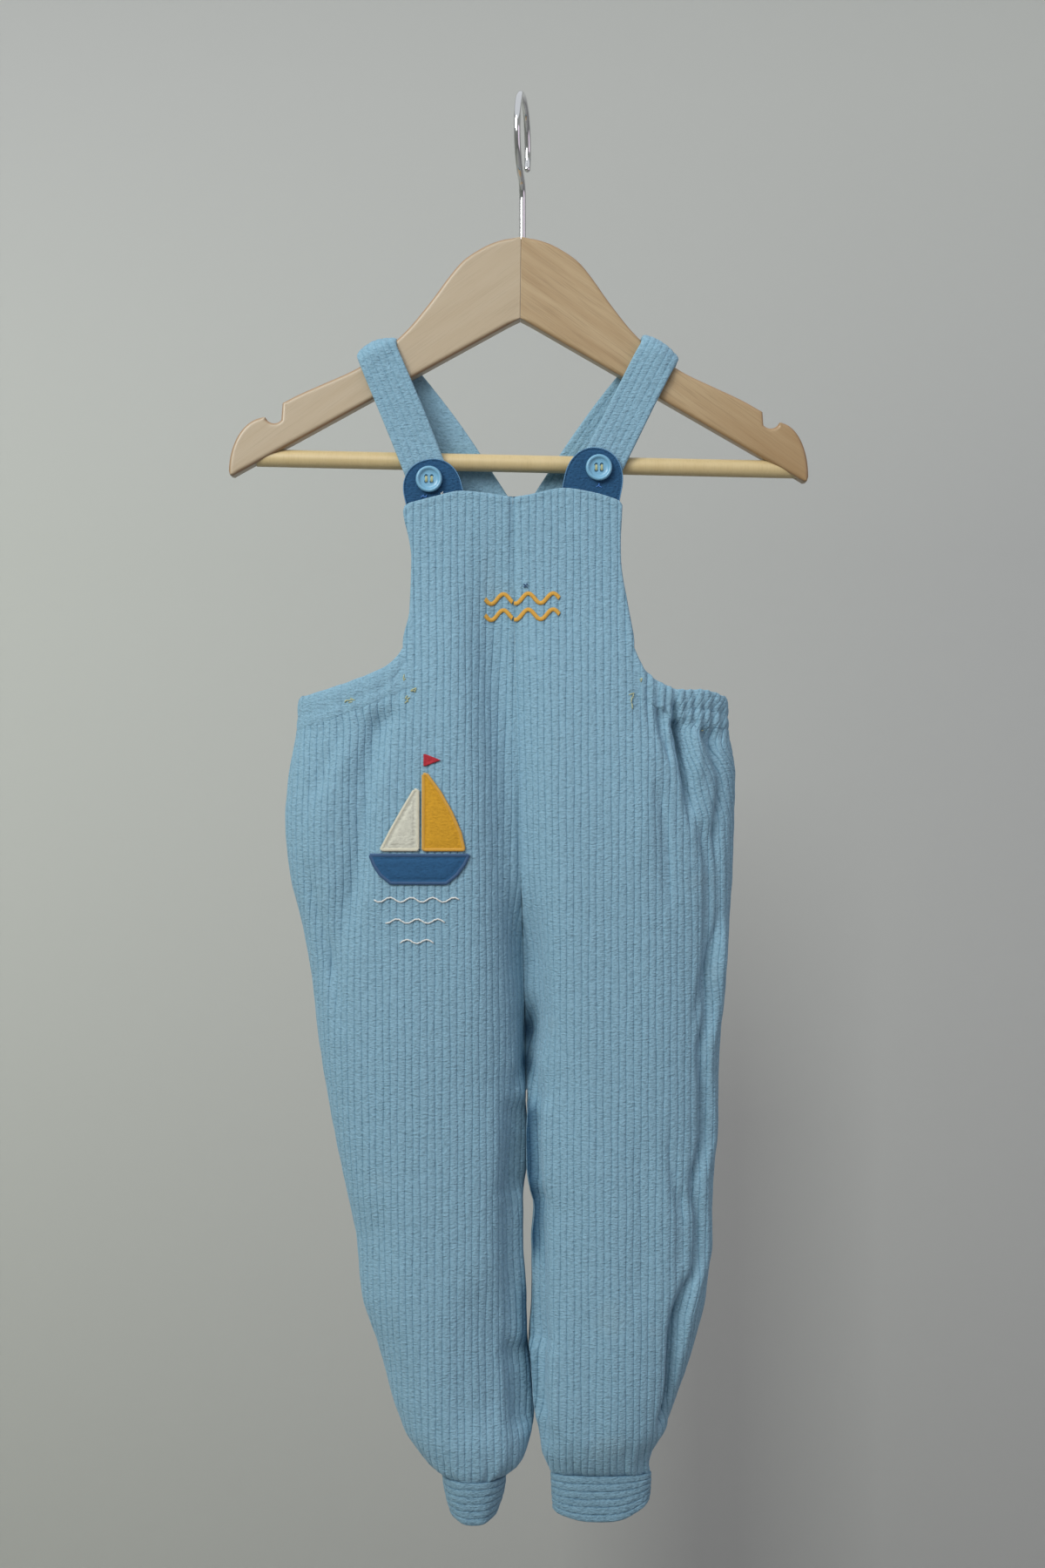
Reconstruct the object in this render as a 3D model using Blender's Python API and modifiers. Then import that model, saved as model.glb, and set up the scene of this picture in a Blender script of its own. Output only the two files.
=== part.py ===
"""Toddler's bib overalls in ribbed velour, buttoned over a child's wooden hanger.

Axes: +X to the right and +Z up for someone facing the bib, +Y from the bib to the back.
The origin is the hook's seat, the underside of its top, where a rail carries it.
Tables are in millimetres. A drop is a depth below the origin, so z = -drop.
"""

from collections import namedtuple
import math

import bmesh
import bpy
from mathutils import Matrix, Vector
import numpy as np

MM = 0.001

# ---------------------------------------------------------------- driving sizes
SEAM_GAP = 0.3
CLOTH = 2.0
SIDE_FULLNESS = 2.3
SEAM_PLANE_REACH = 0.6
FOLD_FADE = 0.7
SLOPE_TURN = 0.02
SLOPE_DROP = 1.5
WAIST_DROP = {"left": 325.5, "right": 327.9}
CROTCH_DROP = 546.0
HEM_DROP = 757.0
CASING_THICK = 2.6
CASING_PROUD = 0.5
CASING_START = 0.012
CASING_ROWS = 3
STRAP_WIDE = 23.5
STRAP_THICK = 3.0
TAB_THICK = 1.8
BUTTON_RADIUS = 7.25
BUTTON_THICK = 3.0
CUFF_THICK = 2.4
PATCH_THICK = 0.9
PATCH_LIFT = 0.7

ARM_THICK = 12.0
ARM_EDGE = 2.0
HANGER_TILT = math.radians(0.6)
BAR_TILT = math.radians(1.1)
BAR_RADIUS = 4.8
BAR_REACH = {"left": 146.5, "right": 151.5}
BAR_DROP = 199.8
WIRE_RADIUS = 1.9
HOOK_RADIUS = 23.9
HOOK_TURN = math.radians(7)
FIT_GAP = 0.3

SIDES = ("left", "right")
OUTWARD = {"left": -1.0, "right": 1.0}
FACING = {"front": -1.0, "back": 1.0}

# One row for each level of half the garment. inner is the centre seam down to the crotch and
# the inseam below it, side the side seam. front and back are how far the cloth stands out
# from the side seams' plane. opening is the angle, in degrees, at which the centre seam lies
# on the section: 90 straight in front, 0 folded right in between the legs.
# mid is the bib's own edge above the waist, and below it a line down the leg.
Level = namedtuple("Level", "drop inner mid side front back opening")
LEVELS = {
    "left": (
        Level(214, -5.4, -66.5, -121, 14.5, 14.5, 90),
        Level(231, -5.2, -65.1, -121, 15.3, 15.6, 90),
        Level(245, -5.1, -61.9, -121, 16.0, 16.5, 90),
        Level(254, -5.0, -60.8, -121, 16.5, 17.0, 90),
        Level(283, -4.6, -61.7, -121, 19.0, 20.0, 90),
        Level(301, -4.2, -65.3, -122, 21.5, 22.0, 88),
        Level(325, -3.8, -59.2, -123, 24.5, 25.0, 84),
        Level(348, -3.2, -60.0, -124.5, 26.5, 27.0, 80),
        Level(372, -2.4, -61.0, -128.6, 28.0, 29.0, 75),
        Level(398, -1.8, -62.0, -130.8, 29.0, 31.0, 70),
        Level(426, -1.0, -62.0, -128.4, 29.0, 32.0, 64),
        Level(455, 0.0, -60.0, -121.5, 28.5, 31.5, 56),
        Level(484, 0.8, -57.0, -116.2, 28.0, 30.0, 46),
        Level(512, 1.4, -55.0, -113.0, 27.5, 28.5, 32),
        Level(530, 1.7, -54.0, -110.4, 27.0, 27.5, 20),
        Level(546, 1.9, -52.0, -107.7, 26.5, 27.0, 0),
        Level(570, 1.5, -50.0, -103.4, 26.0, 26.5, 0),
        Level(599, 1.0, -48.0, -97.2, 25.5, 26.0, 0),
        Level(628, 0.7, -46.0, -92.0, 25.0, 25.5, 0),
        Level(657, 2.2, -43.0, -89.3, 25.0, 25.3, 0),
        Level(685, 1.6, -40.0, -80.8, 24.5, 25.1, 0),
        Level(714, 3.2, -35.0, -72.2, 24.0, 25.0, 0),
        Level(734, 4.0, -31.0, -64.8, 24.0, 24.9, 0),
        Level(745, 2.0, -29.0, -57.6, 23.5, 24.5, 0),
        Level(752, -2.0, -27.5, -52.0, 22.6, 23.6, 0),
        Level(757, -8.6, -26.5, -44.6, 21.6, 21.6, 0),
    ),
    "right": (
        Level(214, -5.4, 55.0, 112, 14.5, 14.5, 90),
        Level(231, -5.2, 54.4, 112, 15.3, 15.6, 90),
        Level(245, -5.1, 53.7, 112, 16.0, 16.5, 90),
        Level(254, -5.0, 53.8, 112, 16.5, 17.0, 90),
        Level(283, -4.6, 58.2, 112, 19.0, 20.0, 90),
        Level(301, -4.2, 61.1, 112.5, 21.5, 22.0, 88),
        Level(325, -3.8, 57.9, 113, 24.5, 25.0, 84),
        Level(348, -3.2, 57.0, 114, 26.5, 27.0, 80),
        Level(372, -2.4, 57.0, 117.6, 28.0, 29.0, 75),
        Level(398, -1.8, 57.0, 117.0, 29.0, 31.0, 70),
        Level(426, -1.0, 57.0, 116.3, 29.0, 32.0, 64),
        Level(455, 0.0, 56.0, 114.2, 28.5, 31.5, 56),
        Level(484, 0.8, 55.0, 112.0, 28.0, 30.0, 46),
        Level(512, 1.4, 54.0, 109.4, 27.5, 28.5, 32),
        Level(530, 1.7, 54.0, 108.4, 27.0, 27.5, 20),
        Level(546, 1.9, 54.0, 107.7, 26.5, 27.0, 0),
        Level(570, 2.3, 54.0, 106.8, 26.0, 26.5, 0),
        Level(599, 3.4, 54.0, 105.3, 25.5, 26.0, 0),
        Level(628, 4.3, 53.0, 103.9, 25.0, 25.5, 0),
        Level(657, 6.4, 52.0, 101.5, 24.5, 25.0, 0),
        Level(685, 4.4, 49.0, 94.8, 24.0, 24.5, 0),
        Level(714, 4.8, 46.0, 86.1, 22.5, 23.5, 0),
        Level(734, 8.6, 45.0, 78.5, 20.0, 21.0, 0),
        Level(745, 10.2, 44.0, 72.0, 16.5, 17.5, 0),
        Level(752, 13.0, 43.5, 70.6, 13.0, 13.5, 0),
        Level(757, 14.6, 43.3, 72.0, 10.2, 10.2, 0),
    ),
}

# The bib's top edge: its drop at a few places across.
Edge = namedtuple("Edge", "x drop")
BIB_TOP = (
    Edge(-66.6, 226.2),
    Edge(-60.0, 223.4),
    Edge(-48.0, 220.6),
    Edge(-32.8, 217.5),
    Edge(-4.8, 220.8),
    Edge(22.8, 216.0),
    Edge(40.0, 218.6),
    Edge(49.0, 221.2),
    Edge(55.2, 224.6),
)

# The elastic casings: upper and lower edge at a few places between the bib and the side seam,
# for the front ones, and from side to side for the back one.
CasingRow = namedtuple("CasingRow", "x upper lower")
CASINGS = {
    "left": (
        CasingRow(-62, 300.5, 325.5),
        CasingRow(-77, 310.4, 332.0),
        CasingRow(-95, 320.0, 339.0),
        CasingRow(-123, 328.8, 347.6),
    ),
    "right": (
        CasingRow(58, 302.0, 327.9),
        CasingRow(68, 312.5, 333.0),
        CasingRow(78, 320.5, 339.0),
        CasingRow(113, 328.8, 347.6),
    ),
    "back": (
        CasingRow(-123, 328.8, 347.6),
        CasingRow(-60, 319.0, 338.0),
        CasingRow(-4, 314.0, 333.0),
        CasingRow(50, 319.0, 338.0),
        CasingRow(113, 328.8, 347.6),
    ),
}

# Soft folds that run down a panel: a path from top to bottom, how far the cloth is pushed
# out (in, if negative) and how wide the fold is to either side.
Fold = namedtuple("Fold", "half face path push spread")
FOLDS = (
    Fold("left", "front", ((-4, 290), (-3, 420), (2, 545)), -4.0, 14),
    Fold("right", "front", ((-4, 290), (-3, 420), (2, 545)), -3.0, 11),
    Fold("left", "front", ((-66, 330), (-84, 365), (-104, 415)), -2.6, 9),
    Fold("left", "front", ((-84, 338), (-104, 372), (-116, 425)), 1.8, 8),
    Fold("right", "front", ((86, 336), (90, 370), (94, 415)), -6.0, 6),
    Fold("right", "front", ((72, 338), (76, 375), (80, 425)), 2.2, 8),
    Fold("right", "front", ((110, 415), (101, 488), (96.5, 522), (98.5, 565), (96, 609)), -7.5, 6),
    Fold("right", "front", ((97, 590), (93.8, 637), (90, 667), (80, 695), (73, 738)), -6.5, 6),
    Fold("left", "front", ((-84, 600), (-80, 650), (-66, 720)), -2.0, 10),
    Fold("left", "front", ((-24, 640), (-30, 690), (-32, 735)), -1.6, 9),
    Fold("right", "front", ((34, 650), (36, 700), (40, 745)), -1.5, 8),
    Fold("left", "back", ((-4, 345), (-2, 430), (2, 545)), -5.0, 14),
    Fold("right", "back", ((-4, 345), (-2, 430), (2, 545)), -5.0, 14),
    Fold("left", "back", ((-40, 350), (-66, 410), (-92, 470)), -2.6, 10),
    Fold("right", "back", ((42, 350), (60, 405), (88, 480)), -2.8, 10),
    Fold("left", "back", ((-70, 520), (-60, 590), (-56, 650)), -2.4, 10),
    Fold("right", "back", ((72, 515), (66, 600), (60, 660)), -2.2, 10),
    Fold("right", "back", ((30, 600), (36, 670), (44, 730)), -1.8, 8),
)

# Gathers along an elastic or a cuff seam: how deep the puckers are, how many there are across
# the stretch, and how far down (or up) the panel they fade out.
Gather = namedtuple("Gather", "depth count reach")
WAIST_GATHERS = {
    ("left", "front"): Gather(1.4, 5, 45),
    ("right", "front"): Gather(2.4, 5, 60),
    ("left", "back"): Gather(2.0, 5, 50),
    ("right", "back"): Gather(2.0, 5, 50),
}
CUFF_GATHERS = Gather(1.2, 8, 22)

INNER_COLUMNS = 6
OUTER_COLUMNS = 10
BIB_ROWS = 6
RISE_ROWS = 10
LEG_ROWS = 9
ANKLE_DROPS = (742.0, 748.5, 753.5, HEM_DROP - SEAM_GAP)
SHIFT_REACH = 85.0

# A strap's middle line, from its end behind the bib, up over the hanger and down to the back
# waist. lean is the angle, in degrees, by which its cross line rises towards the middle.
Stop = namedtuple("Stop", "x drop depth lean")
STRAPS = {
    "left": (
        Stop(-45.6, 224.0, -7.3, 22),
        Stop(-51.1, 211.0, -7.3, 22),
        Stop(-61.8, 184.0, -7.5, 22),
        Stop(-72.4, 158.5, -8.3, 23),
        Stop(-77.0, 147.6, -8.6, 24),
        Stop(-80.4, 138.8, -7.9, 28),
        Stop(-80.6, 134.8, 0.0, 29),
        Stop(-79.5, 137.8, 8.0, 31),
        Stop(-73.2, 147.0, 8.5, 33),
        Stop(-62.0, 161.0, 8.2, 33),
        Stop(-43.0, 186.0, 8.0, 33),
        Stop(-25.0, 212.5, 9.4, 33),
        Stop(0.0, 251.0, 12.7, 33),
        Stop(26.0, 291.0, 16.6, 33),
        Stop(45.0, 320.0, 17.6, 33),
        Stop(51.0, 329.5, 18.0, 33),
    ),
    "right": (
        Stop(35.8, 219.0, -7.3, 26),
        Stop(42.6, 204.7, -7.3, 26),
        Stop(54.4, 181.0, -7.5, 26),
        Stop(65.4, 159.0, -8.3, 26),
        Stop(71.2, 147.6, -8.6, 27),
        Stop(75.8, 139.2, -7.6, 30),
        Stop(76.4, 136.2, 0.0, 33),
        Stop(75.6, 138.8, 7.7, 33),
        Stop(71.4, 147.4, 8.5, 34),
        Stop(59.6, 161.0, 8.2, 34),
        Stop(39.0, 188.0, 8.0, 33),
        Stop(20.6, 215.5, 10.6, 33),
        Stop(-2.0, 251.0, 17.8, 33),
        Stop(-28.0, 290.0, 18.4, 33),
        Stop(-46.0, 317.5, 18.0, 33),
        Stop(-54.0, 329.5, 17.8, 33),
    ),
}
STRAP_STEPS = 44

# The button tabs: where the middle of the sewn edge is, how far the tab stands above it, how
# far it is tucked in behind the bib, and its tilt, in degrees anticlockwise.
Tab = namedtuple("Tab", "x drop height tuck half_wide tilt")
TABS = {
    "left": Tab(-48.2, 220.6, 21.0, 6.0, 16.2, 13),
    "right": Tab(37.6, 218.2, 25.0, 6.0, 16.2, -11),
}
TAB_DEPTH = -10.0
TAB_ROWS = 9
TAB_ACROSS = 4
TAB_STRAIGHT = 0.35
TAB_ROUNDNESS = 2.2
TAB_BLUNT = 0.985

Place = namedtuple("Place", "x drop")
BUTTONS = {"left": Place(-51.1, 211.0), "right": Place(41.8, 204.7)}
BUTTON_HOLE_RADIUS = 0.9
BUTTON_HOLE_SPACING = 3.0
BUTTON_STEPS = 28

# Half of the button's section, as shares of its radius and thickness, down its outer side.
Turn = namedtuple("Turn", "radius height")
BUTTON_SECTION = (
    Turn(0.0, 0.55),
    Turn(0.62, 0.55),
    Turn(0.74, 0.90),
    Turn(0.88, 1.0),
    Turn(0.97, 0.80),
    Turn(1.0, 0.50),
    Turn(0.95, 0.18),
    Turn(0.84, 0.0),
    Turn(0.0, 0.0),
)

# The ankle cuffs: oval bands, wider or deeper as each one hangs. Their lower edges rise towards
# the left and the right.
Cuff = namedtuple("Cuff", "x half_wide half_deep top bottom taper rise_left rise_right")
CUFFS = {
    "left": Cuff(-26.6, 18.0, 21.0, 757.0, 781.0, 3.8, 4.0, 4.6),
    "right": Cuff(43.3, 28.2, 9.8, 757.0, 782.5, 1.2, 4.6, 9.6),
}
CUFF_RISE_POWER = 2.6
CUFF_AROUND = 36
CUFF_ROWS = 3
CUFF_DEEP_TAPER = 0.4

# The appliqué, a small sailing boat on the left hip: each patch is a stack of rows, each row
# a drop and where the patch starts and stops there.
PatchRow = namedtuple("PatchRow", "drop start stop")
PATCHES = {
    "patch_hull": (
        PatchRow(416.0, -82.0, -29.0),
        PatchRow(421.0, -80.0, -31.5),
        PatchRow(426.5, -76.5, -35.5),
        PatchRow(431.0, -71.0, -41.0),
    ),
    "patch_sail": (
        PatchRow(372.5, -53.4, -51.6),
        PatchRow(382.0, -53.4, -44.6),
        PatchRow(393.0, -53.4, -38.4),
        PatchRow(404.0, -53.4, -33.6),
        PatchRow(413.0, -53.4, -31.6),
    ),
    "patch_jib": (
        PatchRow(381.0, -58.2, -56.4),
        PatchRow(391.0, -64.2, -56.4),
        PatchRow(402.0, -70.4, -56.4),
        PatchRow(413.0, -76.0, -56.4),
    ),
    "patch_pennant": (
        PatchRow(361.5, -53.4, -52.2),
        PatchRow(364.8, -53.4, -44.0),
        PatchRow(368.0, -53.4, -52.2),
    ),
}
PATCH_ACROSS = 6
PATCH_FELT = {
    "patch_hull": "felt_blue",
    "patch_sail": "felt_yellow",
    "patch_jib": "felt_cream",
    "patch_pennant": "felt_red",
}

# The hanger's upper edge, from the middle to the notch: reach from the middle, and drop.
Crown = namedtuple("Crown", "reach drop")
ARM_CROWN = (
    Crown(0.0, 77.0),
    Crown(8.0, 78.0),
    Crown(15.4, 80.2),
    Crown(24.0, 84.6),
    Crown(31.6, 90.0),
    Crown(39.0, 98.6),
    Crown(46.6, 109.2),
    Crown(53.0, 117.6),
    Crown(60.0, 126.2),
    Crown(67.0, 133.4),
    Crown(76.7, 141.6),
    Crown(84.8, 147.2),
    Crown(92.0, 151.4),
    Crown(107.3, 158.4),
    Crown(123.0, 165.6),
    Crown(133.8, 171.6),
)
ARM_UNDERSIDE = Crown(0.0, 121.6)
ARM_TIP = Crown(158.6, 210.6)
ARM_TIP_ROUND = Crown(1.6, 1.2)
ARM_OVERRUN = 20.0
CROWN_STEP = 6.5
NOTCH_CENTRE = Crown(138.4, 175.4)
NOTCH_RADIUS = 5.2
NOTCH_START = math.radians(214)
NOTCH_SWEEP = math.radians(128)
NOTCH_STEPS = 8
SHOULDER_CENTRE = Crown(143.0, 207.0)
SHOULDER_RADII = Crown(16.4, 29.6)
SHOULDER_START = math.radians(86)
# The notch and the tooth beyond it lie a little nearer to the middle on the left arm.
NOTCH_SHIFT = {"left": 3.6, "right": 0.0}
SHOULDER_STEPS = 7

# The hook's wire: how far round its bow the bend in front starts and where the bow ends, how
# much of the shank is straight above the wood, and how deep it goes into it.
HOOK_LEAD = math.radians(72)
HOOK_END = math.radians(205)
HOOK_LEAD_STEPS = 5
HOOK_BOW_STEPS = 24
SHANK_STRAIGHT = 12.0
SHANK_END_DROP = 93.0
BORE_END_DROP = 95.0
BORE_DEEP = 30.0
TRIM_SIZE = (60.0, 40.0, 120.0)

COLOURS = {
    "velour": (0.19, 0.41, 0.58, 1.0),
    "tab_cloth": (0.045, 0.15, 0.30, 1.0),
    "button": (0.24, 0.50, 0.68, 1.0),
    "felt_blue": (0.04, 0.12, 0.26, 1.0),
    "felt_yellow": (0.72, 0.38, 0.05, 1.0),
    "felt_cream": (0.72, 0.70, 0.60, 1.0),
    "felt_red": (0.45, 0.04, 0.06, 1.0),
    "wood": (0.58, 0.40, 0.22, 1.0),
    "wire": (0.75, 0.75, 0.76, 1.0),
}


# ---------------------------------------------------------------- small tools
def clear_scene():
    for thing in list(bpy.data.objects):
        bpy.data.objects.remove(thing)


def make_collection(name):
    group = bpy.data.collections.new(name)
    bpy.context.scene.collection.children.link(group)
    return group


def material(name, roughness, metallic=0.0):
    found = bpy.data.materials.get(name)
    if found:
        return found
    made = bpy.data.materials.new(name)
    made.use_nodes = True
    shader = made.node_tree.nodes["Principled BSDF"]
    shader.inputs["Base Color"].default_value = COLOURS[name]
    shader.inputs["Roughness"].default_value = roughness
    shader.inputs["Metallic"].default_value = metallic
    made.diffuse_color = COLOURS[name]
    return made


def add_object(name, data, group, finish):
    thing = bpy.data.objects.new(name, data)
    group.objects.link(thing)
    data.materials.append(finish)
    return thing


def smooth_curve(along, values, at):
    """A monotone cubic through each (along, value), with no overshoot between two of them."""
    along = np.asarray(along, float)
    values = np.asarray(values, float)
    steps = np.diff(along)
    slopes = np.diff(values) / steps
    tangents = np.zeros_like(values)
    product = slopes[:-1] * slopes[1:]
    total = slopes[:-1] + slopes[1:]
    rising = product > 0
    tangents[1:-1][rising] = 2 * product[rising] / total[rising]
    tangents[0] = slopes[0]
    tangents[-1] = slopes[-1]
    at = np.clip(at, along[0], along[-1])
    k = np.clip(np.searchsorted(along, at) - 1, 0, len(steps) - 1)
    t = (at - along[k]) / steps[k]
    rest = 1 - t
    return (
        values[k] * (1 + 2 * t) * rest**2
        + values[k + 1] * (3 - 2 * t) * t**2
        + steps[k] * t * rest * (tangents[k] * rest - tangents[k + 1] * t)
    )


def column(table, field):
    return [getattr(row, field) for row in table]


def signed_power(value, power):
    return np.sign(value) * np.abs(value) ** power


def smooth_step(value):
    value = np.clip(value, 0.0, 1.0)
    return value * value * (3 - 2 * value)


# ---------------------------------------------------------------- the garment's form
def level_at(half, field, drop):
    table = LEVELS[half]
    return smooth_curve(column(table, "drop"), column(table, field), drop)


def section(half, face, drop, angle):
    """Where the plain form lies at this angle round the section: x and y in millimetres."""
    inner = level_at(half, "inner", drop)
    side = level_at(half, "side", drop)
    opening = np.radians(level_at(half, "opening", drop))
    power = 2 / SIDE_FULLNESS
    half_wide = (inner - side) / (1 + signed_power(np.cos(opening), power))
    x = side + half_wide * (1 + signed_power(np.cos(angle), power))
    y = FACING[face] * level_at(half, face, drop) * signed_power(np.sin(angle), power)
    return x, y


def angle_at(half, drop, x):
    """The angle at which the section passes x."""
    inner = level_at(half, "inner", drop)
    side = level_at(half, "side", drop)
    opening = np.radians(level_at(half, "opening", drop))
    half_wide = (inner - side) / (1 + signed_power(np.cos(opening), 2 / SIDE_FULLNESS))
    across = np.clip((x - side) / half_wide - 1, -1, 1)
    return np.arccos(signed_power(across, SIDE_FULLNESS / 2))


def fold_push(half, face, x, drop):
    """How far the folds push the cloth out of the plain form."""
    push = np.zeros_like(x)
    for fold in FOLDS:
        if (fold.half, fold.face) != (half, face):
            continue
        path_x = [point[0] for point in fold.path]
        path_drop = [point[1] for point in fold.path]
        along = (drop - path_drop[0]) / (path_drop[-1] - path_drop[0])
        fade = np.sin(np.pi * np.clip(along, 0, 1)) ** FOLD_FADE
        away = (x - smooth_curve(path_drop, path_x, drop)) / fold.spread
        push += fold.push * fade * np.exp(-(away**2))
    return push


def form(half, face, drop, angle):
    """Points of the folded cloth's outer skin, without its gathers.

    Close to the centre seam the folds push straight forward or back, so the seam stays shut.
    """
    x, y = section(half, face, drop, angle)
    ahead_x, ahead_y = section(half, face, drop, angle + SLOPE_TURN)
    back_x, back_y = section(half, face, drop, angle - SLOPE_TURN)
    out_x = ahead_y - back_y
    out_y = back_x - ahead_x
    size = -OUTWARD[half] * FACING[face] * np.hypot(out_x, out_y)
    past_seam = angle - np.radians(level_at(half, "opening", drop))
    out_x *= smooth_step(past_seam / SEAM_PLANE_REACH)
    push = fold_push(half, face, x, drop)
    return np.stack([x + push * out_x / size, y + push * out_y / size, -drop], axis=-1)


def outward(half, face, drop, angle):
    """The folded cloth's outward direction."""
    ahead = form(half, face, drop, angle + SLOPE_TURN)
    behind = form(half, face, drop, angle - SLOPE_TURN)
    below = form(half, face, drop + SLOPE_DROP, angle)
    above = form(half, face, drop - SLOPE_DROP, angle)
    round_it = ahead - behind
    down_it = below - above
    normal = np.cross(round_it, down_it)
    normal /= np.linalg.norm(normal, axis=-1, keepdims=True)
    return normal * OUTWARD[half] * FACING[face]


def settled(half, face, points):
    """Each quarter of the garment moves half a seam gap out, so that seams stay apart."""
    shift = np.array([OUTWARD[half], FACING[face], 0.0]) * SEAM_GAP / 2
    return points + shift


# ---------------------------------------------------------------- cloth walls
def wall(name, outer, inner, cells, finish, group, ring=False):
    """A closed wall between two grids of points. cells says which squares there are."""
    rows, columns = outer.shape[:2]

    def corner(i, j):
        return i * columns + (j % columns if ring else j)

    squares = []
    for i, j in zip(*np.nonzero(cells)):
        squares.append((corner(i, j), corner(i, j + 1), corner(i + 1, j + 1), corner(i + 1, j)))
    edges = {(square[k], square[(k + 1) % 4]) for square in squares for k in range(4)}
    border = sorted(edge for edge in edges if edge[::-1] not in edges)
    skin = rows * columns
    faces = list(squares)
    faces += [tuple(skin + k for k in reversed(square)) for square in squares]
    faces += [(b, a, skin + a, skin + b) for a, b in border]
    points = np.concatenate([outer.reshape(-1, 3), inner.reshape(-1, 3)]) * MM
    mesh = bpy.data.meshes.new(name)
    mesh.from_pydata(points.tolist(), [], faces)
    work = bmesh.new()
    work.from_mesh(mesh)
    loose = [vertex for vertex in work.verts if not vertex.link_faces]
    bmesh.ops.delete(work, geom=loose, context="VERTS")
    bmesh.ops.recalc_face_normals(work, faces=work.faces)
    work.to_mesh(mesh)
    work.free()
    mesh.shade_smooth()
    mesh.set_sharp_from_angle(angle=math.radians(50))
    return add_object(name, mesh, group, finish)


def panel_columns(half, drop):
    """Angles across a panel: even steps to its mid line, then even steps to the side seam."""
    opening = np.radians(level_at(half, "opening", drop))
    middle = angle_at(half, drop, level_at(half, "mid", drop))
    count = np.arange(INNER_COLUMNS + OUTER_COLUMNS + 1)
    inner_part = np.clip(count / INNER_COLUMNS, 0, 1)
    outer_part = np.clip((count - INNER_COLUMNS) / OUTER_COLUMNS, 0, 1)
    return opening + (middle - opening) * inner_part + (np.pi - middle) * outer_part


def casing_edge(which, field, x):
    table = sorted(CASINGS[which], key=lambda row: row.x)
    return smooth_curve(column(table, "x"), column(table, field), x)


def panel_rows(half, face):
    """The drop of each grid point of a panel, row by row."""
    waist = WAIST_DROP[half]
    columns = INNER_COLUMNS + OUTER_COLUMNS + 1
    level = np.full(columns, waist)
    x, _ = section(half, face, level, panel_columns(half, level))
    if face == "front":
        start = np.maximum(casing_edge(half, "lower", x) + SEAM_GAP, waist)
        start[:INNER_COLUMNS] = waist
    else:
        start = casing_edge("back", "lower", x) + SEAM_GAP
    rise = np.linspace(waist, CROTCH_DROP, RISE_ROWS + 1)
    leg = np.linspace(CROTCH_DROP, ANKLE_DROPS[0], LEG_ROWS + 1)[1:-1]
    plain = np.concatenate([rise, leg, ANKLE_DROPS])
    fade = np.clip(1 - (plain - waist) / SHIFT_REACH, 0, 1)
    drops = plain[:, None] + fade[:, None] * (start - waist)[None, :]
    if face == "back":
        return drops
    top = smooth_curve(column(BIB_TOP, "x"), column(BIB_TOP, "drop"), x)
    part = np.linspace(0, 1, BIB_ROWS + 1)[:-1, None]
    return np.concatenate([top[None, :] * (1 - part) + waist * part, drops])


def gather_push(half, face, drops):
    """Puckers: valleys of even spacing, deepest at the elastic and at the cuff."""
    rows, columns = drops.shape
    waist = WAIST_GATHERS[(half, face)]
    across = (np.arange(columns) - INNER_COLUMNS) / OUTER_COLUMNS
    wave = (np.cos(2 * np.pi * waist.count * across) - 1) / 2 * (across > 0)
    start = drops[BIB_ROWS if face == "front" else 0]
    near = smooth_step(1 - (drops - start) / waist.reach) * (drops >= start)
    push = waist.depth * wave * near
    across = np.arange(columns) / (columns - 1)
    wave = (np.cos(2 * np.pi * CUFF_GATHERS.count * across) - 1) / 2
    near = smooth_step((drops - HEM_DROP) / CUFF_GATHERS.reach + 1)
    return push + CUFF_GATHERS.depth * wave * near


def make_panel(half, face, group):
    drops = panel_rows(half, face)
    angles = panel_columns(half, drops)
    normals = outward(half, face, drops, angles)
    push = gather_push(half, face, drops)
    outer = settled(half, face, form(half, face, drops, angles) + normals * push[..., None])
    inner = outer - normals * CLOTH
    inner[..., 2] = np.maximum(inner[..., 2], SEAM_GAP - HEM_DROP)
    cells = np.ones((drops.shape[0] - 1, drops.shape[1] - 1), bool)
    if face == "front":
        cells[:BIB_ROWS, INNER_COLUMNS:] = False
    wall(f"{face}_{half}", outer, inner, cells, material("velour", 0.9), group)


def make_front_casing(half, group):
    level = np.full(OUTER_COLUMNS + 1, WAIST_DROP[half])
    reference = panel_columns(half, level[0])[INNER_COLUMNS:]
    x, _ = section(half, "front", level, reference)
    upper = casing_edge(half, "upper", x)
    lower = casing_edge(half, "lower", x)
    part = np.linspace(0, 1, CASING_ROWS + 1)[:, None]
    drops = upper * (1 - part) + lower * part
    start = angle_at(half, drops, level_at(half, "mid", drops))
    across = np.linspace(0, 1, OUTER_COLUMNS + 1)
    angles = start + (np.pi - start) * across
    angles[:, 0] += CASING_START
    outer, inner = casing_skins(half, "front", drops, angles)
    cells = np.ones((CASING_ROWS, OUTER_COLUMNS), bool)
    wall(f"casing_{half}", outer, inner, cells, material("velour", 0.9), group)


def casing_skins(half, face, drops, angles):
    """The gathered band's outer and inner skins."""
    normals = outward(half, face, drops, angles)
    gather = WAIST_GATHERS[(half, face)]
    across = np.linspace(0, 1, drops.shape[1])
    wave = (np.cos(2 * np.pi * gather.count * across) - 1) / 2
    base = settled(half, face, form(half, face, drops, angles))
    outer = base + normals * (CASING_PROUD + gather.depth * 0.5 * wave)[..., None]
    return outer, outer - normals * CASING_THICK


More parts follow.
